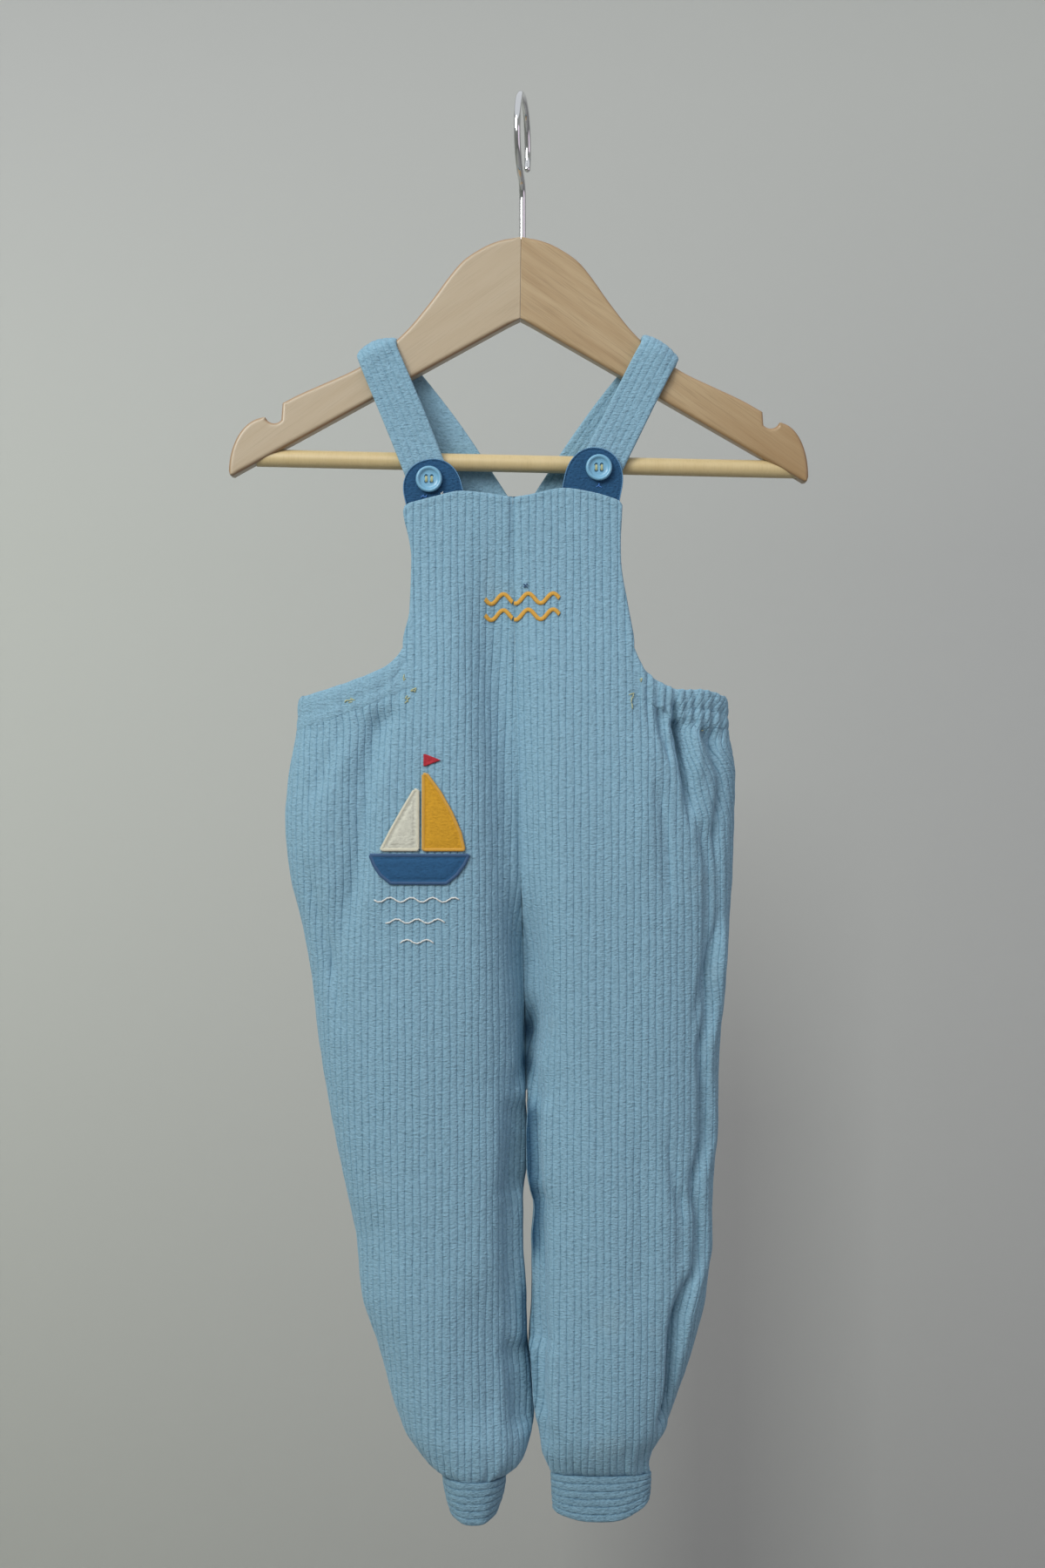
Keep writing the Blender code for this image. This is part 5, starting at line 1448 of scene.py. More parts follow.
def make_tab(half, finish):
    tab = TABS[half]
    rows, columns = TAB_GRID
    rise = np.sin(np.linspace(0, 1, rows) * np.pi / 2)
    up = (-tab.tuck + (tab.height + tab.tuck) * np.minimum(rise, TAB_TOP))[:, None]
    across = np.sin(np.linspace(-1, 1, columns) * np.pi / 2)[None, :]
    u = tab_half_wide(tab, up) * across
    v = up + 0 * across
    edge_u, edge_v = tab_outline(tab)
    away = np.hypot(u[..., None] - edge_u, v[..., None] - edge_v).min(axis=-1)
    roll = edge_roll(away, TAB_EDGE_ROUND) * (TAB_THICK / 2 - TAB_EDGE_LEFT)
    nap = TAB_NAP * np.sin(1.9 * u + 0.7 * v) * np.sin(1.3 * v - 0.6 * u)
    groove = TAB_GROOVE.deep * hump(away - TAB_STITCH, TAB_GROOVE.reach)
    front = nap - roll - groove - TAB_INSET
    out = on_tab(half, u, v, front)
    back = on_tab(half, u, v, -TAB_THICK + roll)
    faces = ring_faces(rows, columns, closed=False)
    normals = np.tile(FORWARD, (rows * columns, 1))
    heights = np.ones(rows * columns)
    return add_wall(
        f"cloth_tab_{half}", out.reshape(-1, 3), back.reshape(-1, 3), faces, normals, heights, finish
    )


def make_button(half, finish):
    """A four-hole button, as rings of points from its middle out, round its rim and back."""
    place = BUTTONS[half]
    around = 132
    turn = np.arange(around) * 2 * np.pi / around
    inner = np.linspace(0.004, 0.50, 34)
    outer = np.concatenate([np.linspace(0.50, 0.93, 18)[1:], [0.955, 0.975, 0.988, 0.996, 1.0]])
    reach = np.concatenate([inner, outer])[:, None]
    height = smooth_curve(column(BUTTON_SECTION, "radius"), column(BUTTON_SECTION, "height"), reach)
    height = height * BUTTON_THICK + 0 * turn[None, :]
    u = reach * BUTTON_RADIUS * np.cos(turn)[None, :]
    v = reach * BUTTON_RADIUS * np.sin(turn)[None, :]
    spot = BUTTON_HOLE_SPACING / 2
    away = np.min([np.hypot(u - a, v - b) for a in (-spot, spot) for b in (-spot, spot)], axis=0)
    height -= 1.25 * smooth_step((BUTTON_HOLE_RADIUS + 0.12 - away) / 0.24)
    under = np.array([(0.985, 0.25), (0.95, 0.10), (0.88, 0.0), (0.4, 0.0), (0.004, 0.0)])
    u = np.concatenate([u, under[:, :1] * BUTTON_RADIUS * np.cos(turn)[None, :]])
    v = np.concatenate([v, under[:, :1] * BUTTON_RADIUS * np.sin(turn)[None, :]])
    height = np.concatenate([height, under[:, 1:] * BUTTON_THICK + 0 * turn[None, :]])
    face = TAB_DEPTH - TAB_THICK / 2 - FIT_GAP
    points = np.stack([place.x + u, face - height, -place.drop + v], axis=-1)
    faces = tube_faces(len(points), around)
    points = points.reshape(-1, 3)
    normals = np.tile([0.0, -1.0, 0.0], (len(points), 1))
    if face_sign(points, faces[: around * 20], normals) < 0:
        faces = [tuple(reversed(face)) for face in faces]
    return add_mesh(f"disc_{half}", points, faces, finish, creased=50)


def button_threads():
    """Two bars of thread on each button, each of a few strands between an upper and lower hole."""
    starts, ends = [], []
    level = TAB_DEPTH - TAB_THICK / 2 - FIT_GAP - BUTTON_THICK * BUTTON_SECTION[0].height
    spot = BUTTON_HOLE_SPACING / 2
    for place in BUTTONS.values():
        for side in (-spot, spot):
            for strand in STRANDS:
                x = place.x + side + strand
                starts.append((x, level + STRAND_SINK, -place.drop + spot + STRAND_PAST))
                x = x + STRAND_SKEW * strand
                ends.append((x, level + STRAND_SINK, -place.drop - spot - STRAND_PAST))
    return starts, ends, np.tile(FORWARD, (len(starts), 1))


# ---------------------------------------------------------------- appliqué
PatchRow = namedtuple("PatchRow", "drop start stop")
PATCHES = {
    "patch_hull": (
        PatchRow(416.0, -82.0, -29.0),
        PatchRow(421.0, -80.0, -31.5),
        PatchRow(426.5, -76.5, -35.5),
        PatchRow(431.0, -71.0, -41.0),
    ),
    "patch_sail": (
        PatchRow(372.5, -53.4, -51.6),
        PatchRow(382.0, -53.4, -44.6),
        PatchRow(393.0, -53.4, -38.4),
        PatchRow(404.0, -53.4, -33.6),
        PatchRow(413.0, -53.4, -31.6),
    ),
    "patch_jib": (
        PatchRow(381.0, -58.2, -56.4),
        PatchRow(391.0, -64.2, -56.4),
        PatchRow(402.0, -70.4, -56.4),
        PatchRow(413.0, -76.0, -56.4),
    ),
    "patch_pennant": (
        PatchRow(361.5, -53.4, -52.2),
        PatchRow(364.8, -53.4, -44.0),
        PatchRow(368.0, -53.4, -52.2),
    ),
}
PATCH_THICK = 0.85
PATCH_LIFT = 0.12
PATCH_GRID = (34, 40)
BORDER_WIDE = 1.9
PATCH_PLUMP = 0.25
PATCH_PLUMP_REACH = 5.0
PATCH_GROOVE = Groove(0.3, 0.8)
PATCH_ROLL = Groove(0.5, 0.6)
OUTLINE_STEPS = 260


def patch_outline(rows):
    """Places round a patch, closed."""
    drop = column(rows, "drop")
    x = column(rows, "start") + column(rows, "stop")[::-1] + [rows[0].start]
    drop = drop + drop[::-1] + [drop[0]]
    along = lengths_along(x, drop)
    at = np.linspace(0, along[-1], OUTLINE_STEPS)
    return np.interp(at, along, x), np.interp(at, along, drop)


def make_patch(name, finish):
    rows = PATCHES[name]
    drop = np.linspace(rows[0].drop, rows[-1].drop, PATCH_GRID[0])
    start = np.interp(drop, column(rows, "drop"), column(rows, "start"))[:, None]
    stop = np.interp(drop, column(rows, "drop"), column(rows, "stop"))[:, None]
    across = np.linspace(0, 1, PATCH_GRID[1])[None, :]
    x = start * (1 - across) + stop * across
    drop = drop[:, None] + 0 * across
    edge_x, edge_drop = patch_outline(rows)
    away = np.hypot(x[..., None] - edge_x, drop[..., None] - edge_drop).min(axis=-1)
    groove = PATCH_GROOVE.deep * hump(away - BORDER_WIDE, PATCH_GROOVE.reach)
    plump = PATCH_PLUMP * smooth_step(away / PATCH_PLUMP_REACH) - groove
    roll = PATCH_ROLL.deep * edge_roll(away, PATCH_ROLL.reach)
    base, normals = on_front("left", x, drop, PATCH_LIFT)
    outer = base + normals * (PATCH_THICK + plump - roll)[..., None]
    faces = ring_faces(*PATCH_GRID, closed=False)
    heights = np.ones(x.size)
    return add_wall(
        name.replace("patch", "felt"),
        outer.reshape(-1, 3),
        base.reshape(-1, 3),
        faces,
        normals.reshape(-1, 3),
        heights,
        finish,
    )


# ---------------------------------------------------------------- hanger
Crown = namedtuple("Crown", "reach drop")
ARM_CROWN = (
    Crown(0.0, 77.0),
    Crown(8.0, 78.0),
    Crown(15.4, 80.2),
    Crown(24.0, 84.6),
    Crown(31.6, 90.0),
    Crown(39.0, 98.6),
    Crown(46.6, 109.2),
    Crown(53.0, 117.6),
    Crown(60.0, 126.2),
    Crown(67.0, 133.4),
    Crown(76.7, 141.6),
    Crown(84.8, 147.2),
    Crown(92.0, 151.4),
    Crown(107.3, 158.4),
    Crown(123.0, 165.6),
    Crown(133.8, 171.6),
)
ARM_UNDERSIDE = Crown(0.0, 121.6)
ARM_TIP = Crown(158.6, 210.6)
ARM_TIP_ROUND = Crown(1.6, 1.2)
NOTCH_CENTRE = Crown(138.4, 175.4)
NOTCH_RADIUS = 5.2
NOTCH_START = math.radians(214)
NOTCH_SWEEP = math.radians(128)
SHOULDER_CENTRE = Crown(143.0, 207.0)
SHOULDER_RADII = Crown(16.4, 29.6)
SHOULDER_START = math.radians(86)
NOTCH_SHIFT = {"left": 3.6, "right": 0.0}
ARM_THICK = 12.0
ARM_EDGE = 2.1
JOINT_EDGE = 0.35
JOINT_GAP = 0.05
HANGER_TILT = math.radians(0.6)
BAR_TILT = math.radians(1.25)
BAR_RADIUS = 4.8
BAR_REACH = {"left": 146.5, "right": 151.5}
BAR_DROP = 200.9
WIRE_RADIUS = 1.9
HOOK_RADIUS = 23.9
HOOK_TURN = math.radians(7)
HOOK_LEAD = math.radians(72)
HOOK_END = math.radians(205)
SHANK_END_DROP = 93.0
BORE_DEEP = 30.0
BORE_END_DROP = 95.0


def arc(centre, radii, start, sweep, steps):
    """Places round an arc, anticlockwise for a positive sweep."""
    turns = start + sweep * np.arange(steps + 1) / steps
    reach = centre.reach + radii.reach * np.cos(turns)
    drop = centre.drop - radii.drop * np.sin(turns)
    return list(zip(reach, drop))


def arm_outline(half):
    """Points round one arm, from the joint out along the top and back underneath."""
    shift = NOTCH_SHIFT[half]
    reach = np.linspace(JOINT_GAP, ARM_CROWN[-1].reach - shift, 62)
    top = smooth_curve(column(ARM_CROWN, "reach"), column(ARM_CROWN, "drop"), reach)
    round_notch = Crown(NOTCH_RADIUS, NOTCH_RADIUS)
    notch_centre = Crown(NOTCH_CENTRE.reach - shift, NOTCH_CENTRE.drop)
    notch = arc(notch_centre, round_notch, NOTCH_START, NOTCH_SWEEP, 20)
    centre = Crown(SHOULDER_CENTRE.reach - shift, SHOULDER_CENTRE.drop)
    radii = Crown(SHOULDER_RADII.reach + shift, SHOULDER_RADII.drop)
    shoulder = arc(centre, radii, SHOULDER_START, -SHOULDER_START, 18)
    slope = (ARM_TIP.drop - ARM_UNDERSIDE.drop) / ARM_TIP.reach
    under = np.linspace(ARM_TIP.reach - ARM_TIP_ROUND.reach, JOINT_GAP, 50)
    return (
        list(zip(reach, top))
        + notch[1:-1]
        + shoulder
        + [(ARM_TIP.reach, ARM_TIP.drop - ARM_TIP_ROUND.drop)]
        + [(place, ARM_UNDERSIDE.drop + slope * place) for place in under]
    )


# Where the arm's edge grows from its roundness at the joint to its own, and its rings there.
JOINT_EDGE_START = 0.5
JOINT_EDGE_FADE = 5.0
EDGE_STEPS = 6
EDGE_ROOM_SHARE = 0.7
# How wide the first ring on the flat is, and how much of the room it may take.
JOINT_FLAT = 0.15
ARM_FLAT = 0.5
FLAT_ROOM_SHARE = 0.15
BORE_SIDES = 40
BAR_SIDES = 72


def inner_room(outline, inward):
    """The radius of the largest round that fits inside the outline at each of its points."""
    span = outline[None, :, :] - outline[:, None, :]
    facing = (span * inward[:, None, :]).sum(axis=-1)
    radius = (span**2).sum(axis=-1) / np.maximum(2 * facing, 1e-9)
    return np.where(facing > 1e-6, radius, np.inf).min(axis=1)


def make_arm(half, finish):
    """One wooden half: its outline in rings that draw in towards both faces."""
    outline = np.array(arm_outline(half)) * [OUTWARD[half], -1]
    before, after = np.roll(outline, 1, axis=0), np.roll(outline, -1, axis=0)
    run = unit(unit(outline - before) + unit(after - outline))
    inward = np.stack([run[:, 1], -run[:, 0]], axis=1) * OUTWARD[half]
    near_joint = np.clip((np.abs(outline[:, 0]) - JOINT_EDGE_START) / JOINT_EDGE_FADE, 0, 1)
    room = inner_room(outline, inward)
    edge = JOINT_EDGE + (ARM_EDGE - JOINT_EDGE) * smooth_step(near_joint)
    edge = np.minimum(edge, EDGE_ROOM_SHARE * room)
    flat = np.minimum(JOINT_FLAT + ARM_FLAT * near_joint, FLAT_ROOM_SHARE * room)
    turns = np.linspace(0, np.pi / 2, EDGE_STEPS)
    rounding = [(edge * (1 - np.cos(turn)), edge * (1 - np.sin(turn))) for turn in turns]
    rounding.append((edge + flat, 0 * edge))
    rings = []
    for side in (-1, 1):
        for draw, below in rounding[::side]:
            place = outline + inward * draw[:, None]
            rings.append(np.stack([place[:, 0], side * (ARM_THICK / 2 - below), place[:, 1]], axis=-1))
    faces = tube_faces(len(rings), len(outline))
    points = np.concatenate(rings) @ np.array(Matrix.Rotation(HANGER_TILT, 3, "Y")).T
    if half == "left":
        faces = [tuple(reversed(face)) for face in faces]
    arm = add_mesh(f"arm_{half}", points, faces, finish, creased=40)
    deep = BAR_REACH[half] + FIT_GAP
    bore(arm, BAR_RADIUS + FIT_GAP, deep, bar_place(deep / 2 * OUTWARD[half]))
    down = Matrix.Translation(Vector((0, 0, BORE_DEEP - BORE_END_DROP)) * MM)
    bore(arm, WIRE_RADIUS + FIT_GAP, 2 * BORE_DEEP, down)
    return arm


def bar_place(along):
    """The bar's frame, this far along it from its middle."""
    middle = Matrix.Translation(Vector((0, 0, -BAR_DROP)) * MM)
    lie = Matrix.Rotation(math.radians(90), 4, "Y")
    turned = Matrix.Rotation(BAR_TILT, 4, "Y")
    return middle @ turned @ Matrix.Translation(Vector((along, 0, 0)) * MM) @ lie


def cylinder(name, radius, length, sides, place, finish=None):
    mesh = bpy.data.meshes.new(name)
    work = bmesh.new()
    size = {"radius1": radius * MM, "radius2": radius * MM, "depth": length * MM}
    bmesh.ops.create_cone(work, cap_ends=True, segments=sides, **size)
    work.to_mesh(mesh)
    work.free()
    thing = bpy.data.objects.new(name, mesh)
    bpy.context.scene.collection.objects.link(thing)
    thing.matrix_world = place
    if finish:
        mesh.materials.append(finish)
        mesh.shade_smooth()
        mesh.set_sharp_from_angle(angle=math.radians(40))
    return thing


def bore(thing, radius, length, place):
    """Cuts a round hole in a piece, for good."""
    cutter = cylinder("cutter", radius, length, BORE_SIDES, place)
    step = thing.modifiers.new("bore", "BOOLEAN")
    step.operation = "DIFFERENCE"
    step.solver = "EXACT"
    step.object = cutter
    bpy.context.view_layer.update()
    cut = bpy.data.meshes.new_from_object(thing.evaluated_get(bpy.context.evaluated_depsgraph_get()))
    thing.modifiers.clear()
    thing.data = cut
    bpy.data.objects.remove(cutter)


def hook_route():
    """The wire's middle line: the shank, the bend forward and the bow over the rail."""
    centre_drop = HOOK_RADIUS - WIRE_RADIUS
    bend = HOOK_RADIUS * math.cos(HOOK_LEAD) / (1 - math.cos(HOOK_LEAD))
    bend_drop = centre_drop + (HOOK_RADIUS + bend) * math.sin(HOOK_LEAD)
    route = [(0.0, z) for z in np.linspace(-SHANK_END_DROP, -bend_drop, 10)[:-1]]
    for turn in np.linspace(0, HOOK_LEAD, 16)[:-1]:
        route.append((-bend * (1 - math.cos(turn)), -bend_drop + bend * math.sin(turn)))
    for turn in np.linspace(-HOOK_LEAD, HOOK_END, 84):
        route.append((-HOOK_RADIUS * math.cos(turn), -centre_drop + HOOK_RADIUS * math.sin(turn)))
    return np.array([(y * math.tan(HOOK_TURN), y, z) for y, z in route])


def make_hook(finish):
    """The wire, swept round its route, with a rounded end."""
    route = hook_route()
    forward = unit(np.gradient(route, axis=0))
    side = np.array([math.cos(HOOK_TURN), -math.sin(HOOK_TURN), 0.0])
    out = np.cross(forward, side)
    end = route[-1] + forward[-1] * WIRE_RADIUS * np.array([[0.5], [0.85], [0.99]])
    middle = np.concatenate([route, end])
    out = np.concatenate([out, np.repeat(out[-1:], 3, axis=0)])
    fat = np.concatenate([np.ones(len(route)), [0.87, 0.53, 0.14]]) * WIRE_RADIUS
    sides = 28
    turn = np.arange(sides) * 2 * np.pi / sides
    rings = (
        middle[:, None, :]
        + side * (fat[:, None] * np.cos(turn)[None, :])[..., None]
        + out[:, None, :] * (fat[:, None] * np.sin(turn)[None, :])[..., None]
    )
    faces = [tuple(reversed(face)) for face in tube_faces(len(middle), sides)]
    return add_mesh("wire_hook", rings.reshape(-1, 3), faces, finish)


# ---------------------------------------------------------------- materials
def nodes_of(name):
    made = bpy.data.materials.new(name)
    made.use_nodes = True
    tree = made.node_tree
    return made, tree, tree.nodes["Principled BSDF"]


def link(tree, start, output, end, socket):
    tree.links.new(start.outputs[output], end.inputs[socket])


def add_node(tree, kind, **settings):
    node = tree.nodes.new(kind)
    for key, value in settings.items():
        setattr(node, key, value)
    return node


def noise(tree, place, scale, detail=2.0, roughness=0.5):
    node = add_node(tree, "ShaderNodeTexNoise")
    node.inputs["Scale"].default_value = scale
    node.inputs["Detail"].default_value = detail
    node.inputs["Roughness"].default_value = roughness
    tree.links.new(place, node.inputs["Vector"])
    return node.outputs["Fac"]


def coordinates(tree):
    return add_node(tree, "ShaderNodeTexCoord").outputs["Object"]


def mapped(tree, place, scale=(1.0, 1.0, 1.0), lean=0.0):
    """Coordinates turned about Y by lean and stretched by scale."""
    node = add_node(tree, "ShaderNodeMapping")
    node.inputs["Rotation"].default_value = (0.0, lean, 0.0)
    node.inputs["Scale"].default_value = scale
    tree.links.new(place, node.inputs["Vector"])
    return node.outputs["Vector"]


def apart(tree, place):
    """The X, Y and Z of coordinates."""
    node = add_node(tree, "ShaderNodeSeparateXYZ")
    tree.links.new(place, node.inputs["Vector"])
    return node.outputs


def maths(tree, operation, *values):
    """What a sum makes of these numbers or outputs."""
    node = add_node(tree, "ShaderNodeMath", operation=operation)
    for value, socket in zip(values, node.inputs):
        if isinstance(value, bpy.types.NodeSocket):
            tree.links.new(value, socket)
        else:
            socket.default_value = value
    return node.outputs["Value"]


def times(colour, share):
    """The colour, darker or paler by this share, and no paler than white."""
    return [min(1, part * share) for part in colour]


def ramp(tree, source, low, high, to_low=0.0, to_high=1.0):
    node = add_node(tree, "ShaderNodeMapRange", clamp=True)
    node.inputs["From Min"].default_value = low
    node.inputs["From Max"].default_value = high
    node.inputs["To Min"].default_value = to_low
    node.inputs["To Max"].default_value = to_high
    tree.links.new(source, node.inputs["Value"])
    return node.outputs["Result"]


def mixed(tree, factor, first, second, blend="MIX"):
    """A colour mix. first and second are colours or outputs, and factor a number or an output."""
    node = add_node(tree, "ShaderNodeMix", data_type="RGBA", blend_type=blend)
    for value, socket in ((factor, 0), (first, 6), (second, 7)):
        if isinstance(value, bpy.types.NodeSocket):
            tree.links.new(value, node.inputs[socket])
        elif socket == 0:
            node.inputs[socket].default_value = value
        else:
            node.inputs[socket].default_value = (*value, 1.0)
    return node.outputs[2]


def bumped(tree, shader, heights):
    """Adds bumps, each (height output, distance in metres, strength), to the shader's normal."""
    last = None
    for height, distance, strength in heights:
        node = add_node(tree, "ShaderNodeBump")
        node.inputs["Distance"].default_value = distance
        node.inputs["Strength"].default_value = strength
        tree.links.new(height, node.inputs["Height"])
        if last:
            link(tree, last, "Normal", node, "Normal")
        last = node
    link(tree, last, "Normal", shader, "Normal")


Velour = namedtuple("Velour", "crest groove sheen nap stained", defaults=(0.35, 1.0, 0.0))
VELOURS = {
    "velour": Velour((0.250, 0.425, 0.540), (0.170, 0.325, 0.435), stained=0.07),
    "velour_cuff": Velour((0.205, 0.350, 0.445), (0.095, 0.195, 0.285), sheen=0.25),
    "tab_velour": Velour((0.026, 0.092, 0.195), (0.02, 0.06, 0.14), sheen=0.25),
    "felt_blue": Velour((0.028, 0.100, 0.215), (0.02, 0.06, 0.14), 0.2, 0.6),
    "felt_yellow": Velour((0.60, 0.315, 0.028), (0.4, 0.2, 0.02), 0.15, 0.6),
    "felt_cream": Velour((0.60, 0.60, 0.51), (0.4, 0.4, 0.33), 0.1, 0.6),
    "felt_red": Velour((0.42, 0.035, 0.05), (0.25, 0.02, 0.03), 0.1, 0.6),
}
STAIN = (0.40, 0.46, 0.42)
# The cloth in deep shade, as shares of its groove colour.
DEEP_SHARES = (0.12, 0.23, 0.34)
# A mottle in the cloth's colour: the noise between which its colour fades in, how strong it is,
# and the colour as a share of the crest's or groove's.
Mottle = namedtuple("Mottle", "start full strength share")
BEADS = Mottle(0.54, 0.33, 0.42, 0.76)
WRINKLES = Mottle(0.44, 0.32, 0.16, 0.8)
PATCHY = Mottle(0.35, 0.7, 0.12, 0.76)
FINE = Mottle(0.42, 0.66, 0.24, 1.35)


def mottled(tree, colour, source, mottle, base, nap=1.0):
    part = ramp(tree, source, mottle.start, mottle.full, 0.0, mottle.strength * nap)
    return mixed(tree, part, colour, times(base, mottle.share))


def velour_material(name):
    """Soft pile: paler on each rib's crest than in the grooves, mottled and slightly fuzzy.

    The attribute rib is 1 on a crest, 0 in a groove and below 0 where the cloth lies in shade.
    """
    kind = VELOURS[name]
    made, tree, shader = nodes_of(name)
    place = coordinates(tree)
    rib = add_node(tree, "ShaderNodeAttribute", attribute_name="rib").outputs["Fac"]
    beads = noise(tree, mapped(tree, place, (1.0, 1.0, 1.7)), 560.0, 2.0, 0.6)
    wrinkles = noise(tree, mapped(tree, place, (0.45, 0.45, 1.5)), 640.0, 1.0, 0.5)
    uneven = maths(tree, "ADD", rib, ramp(tree, beads, 0.30, 0.70, -0.22, 0.22))
    colour = mixed(tree, ramp(tree, uneven, 0.0, 0.8), kind.groove, kind.crest)
    colour = mottled(tree, colour, beads, BEADS, kind.groove, kind.nap)
    colour = mottled(tree, colour, wrinkles, WRINKLES, kind.groove, kind.nap)
    colour = mottled(tree, colour, noise(tree, place, 14.0, 3.0), PATCHY, kind.crest)
    colour = mottled(tree, colour, noise(tree, place, 420.0, 3.0, 0.6), FINE, kind.crest)
    if kind.stained:
        spots = noise(tree, place, 31.0, 1.0)
        colour = mixed(tree, ramp(tree, spots, 0.70, 0.80, 0.0, kind.stained), colour, STAIN)
    # Painted shade: where rib is below 0 the colour goes towards the deep shade colour, and the sheen fades
    # out.
    deep = [part * share for part, share in zip(kind.groove, DEEP_SHARES)]
    colour = mixed(tree, ramp(tree, rib, 0.0, -1.0), colour, deep)
    tree.links.new(colour, shader.inputs["Base Color"])
    shader.inputs["Roughness"].default_value = 0.95
    shader.inputs["Specular IOR Level"].default_value = 0.15
    tree.links.new(ramp(tree, rib, -0.6, 0.0, 0.0, kind.sheen), shader.inputs["Sheen Weight"])
    shader.inputs["Sheen Roughness"].default_value = 0.45
    shader.inputs["Sheen Tint"].default_value = (*[min(1, part + 0.35) for part in kind.crest], 1.0)
    fuzz = noise(tree, place, 2600.0, 2.0, 0.6)
    rough = 0.5 * kind.nap
    bumped(tree, shader, ((beads, 0.0012, 0.7 * kind.nap), (wrinkles, 0.0007, rough), (fuzz, 0.0002, rough)))
    return made


THREADS = {
    "seam": (0.13, 0.27, 0.38),
    "navy": (0.035, 0.10, 0.22),
    "edge": (0.10, 0.26, 0.45),
    "bright": (0.06, 0.22, 0.60),
    "yellow": (0.66, 0.36, 0.045),
    "cream": (0.64, 0.62, 0.50),
    "white": (0.68, 0.70, 0.68),
    "straw": (0.48, 0.50, 0.27),
}


def thread_material(name, colour):
    made, _, shader = nodes_of(name)
    shader.inputs["Base Color"].default_value = (*colour, 1.0)
    shader.inputs["Roughness"].default_value = 0.6
    shader.inputs["Sheen Weight"].default_value = 0.2
    return made


Wood = namedtuple("Wood", "pale dark lean grain rim far", defaults=(0.0, 0.0))
WOODS = {
    "wood_left": Wood((0.47, 0.382, 0.262), (0.40, 0.300, 0.180), 0.62, 0.35, 0.7),
    "wood_right": Wood((0.455, 0.335, 0.190), (0.345, 0.225, 0.108), -0.62, 0.75, 0.5, 0.5),
    "dowel": Wood((0.63, 0.50, 0.265), (0.545, 0.405, 0.185), 0.0, 0.3),
}
# The colours of the painted shade on an arm's outer end and on its rounded edges.
WOOD_PAINTED_SHADE_FAR = (0.33, 0.20, 0.085)
WOOD_PAINTED_SHADE_RIM = (0.30, 0.15, 0.06)


def wood_material(name):
    """Planed and lacquered wood, its grain along the arm: lean turns it from level.

    Shade is painted on: the rounded edges are darker by the share rim, and the outer end by the share far.
    """
    kind = WOODS[name]
    made, tree, shader = nodes_of(name)
    place = coordinates(tree)
    turned = mapped(tree, place, lean=kind.lean)
    broad = noise(tree, mapped(tree, turned, (1.0, 9.0, 14.0)), 12.0, 4.0, 0.55)
    lines = noise(tree, mapped(tree, turned, (1.0, 20.0, 34.0)), 34.0, 3.0, 0.6)
    colour = mixed(tree, ramp(tree, broad, 0.35, 0.68, 0.0, kind.grain), kind.pale, kind.dark)
    line_part = ramp(tree, lines, 0.50, 0.68, 0.0, 0.5 * kind.grain)
    colour = mixed(tree, line_part, colour, times(kind.dark, 0.62))
    axes = apart(tree, place)
    # Painted shade: darker towards an arm's outer end, by the share far.
    colour = mixed(tree, ramp(tree, axes["X"], 0.09, 0.15, 0.0, kind.far), colour, WOOD_PAINTED_SHADE_FAR)
    # Painted shade on the rounded edges next to both faces.
    through = maths(tree, "ABSOLUTE", axes["Y"])
    outer = ramp(tree, through, 0.0059, 0.0053)
    inner = ramp(tree, through, 0.0036, 0.0044, 0.0, kind.rim)
    colour = mixed(tree, maths(tree, "MULTIPLY", outer, inner), colour, WOOD_PAINTED_SHADE_RIM)
    tree.links.new(colour, shader.inputs["Base Color"])
    shader.inputs["Roughness"].default_value = 0.42
    shader.inputs["Coat Weight"].default_value = 0.25
    shader.inputs["Coat Roughness"].default_value = 0.3
    bumped(tree, shader, ((lines, 0.0002, 0.12),))
    return made


def plain_material(name, colour, roughness, metallic=0.0, coat=0.0):
    made, _, shader = nodes_of(name)
    shader.inputs["Base Color"].default_value = (*colour, 1.0)
    shader.inputs["Roughness"].default_value = roughness
    shader.inputs["Metallic"].default_value = metallic
    shader.inputs["Coat Weight"].default_value = coat
    return made


# ---------------------------------------------------------------- the pieces put together
SLOTS = {
    "front_left": "velour",
    "front_right": "velour",
    "back_left": "velour",
    "back_right": "velour",
    "casing_left": "velour",
    "casing_right": "velour",
    "casing_back": "velour",
    "strap_left": "velour",
    "strap_right": "velour",
    "cuff_left": "velour_cuff",
    "cuff_right": "velour_cuff",
    "tab_left": "tab_velour",
    "tab_right": "tab_velour",
    "patch_hull": "felt_blue",
    "patch_sail": "felt_yellow",
    "patch_jib": "felt_cream",
    "patch_pennant": "felt_red",
}

# How each sheet was cut: width and length, in metres, its flat area where it isn't a rectangle,
# how it is held, and what holds it.
Sheet = namedtuple("Sheet", "wide long area held rests_on")

velour = velour_material("velour")
cuff_velour = velour_material("velour_cuff")
tab_cloth = velour_material("tab_velour")
felt = {name: velour_material(name) for name in VELOURS if name.startswith("felt")}
threads = {name: thread_material(f"{name}_thread", colour) for name, colour in THREADS.items()}
button_finish = plain_material("button", (0.185, 0.42, 0.60), 0.32, coat=0.3)
chrome = plain_material("chrome", (0.80, 0.80, 0.81), 0.10, metallic=1.0)
TABLES = {(half, face): angle_table(half, face) for half in SIDES for face in FACING}
cloth = {}
for half in SIDES:
    for face in FACING:
        cloth[f"{face}_{half}"] = make_panel(half, face, velour)
    cloth[f"strap_{half}"] = make_strap(half, velour)
    cloth[f"cuff_{half}"] = make_cuff(half, cuff_velour)
    cloth[f"tab_{half}"] = make_tab(half, tab_cloth)
for which in (*SIDES, "back"):
    cloth[f"casing_{which}"] = make_casing(which, velour)
for name in PATCHES:
    cloth[name] = make_patch(name, felt[SLOTS[name]])
for node, piece in cloth.items():
    finished(piece, SLOTS[node], node)
pieces = {node: piece.name for node, piece in cloth.items()}
pieces.update(button_left="disc_left", button_right="disc_right")
pieces.update(hanger_arm_left="arm_left", hanger_arm_right="arm_right")

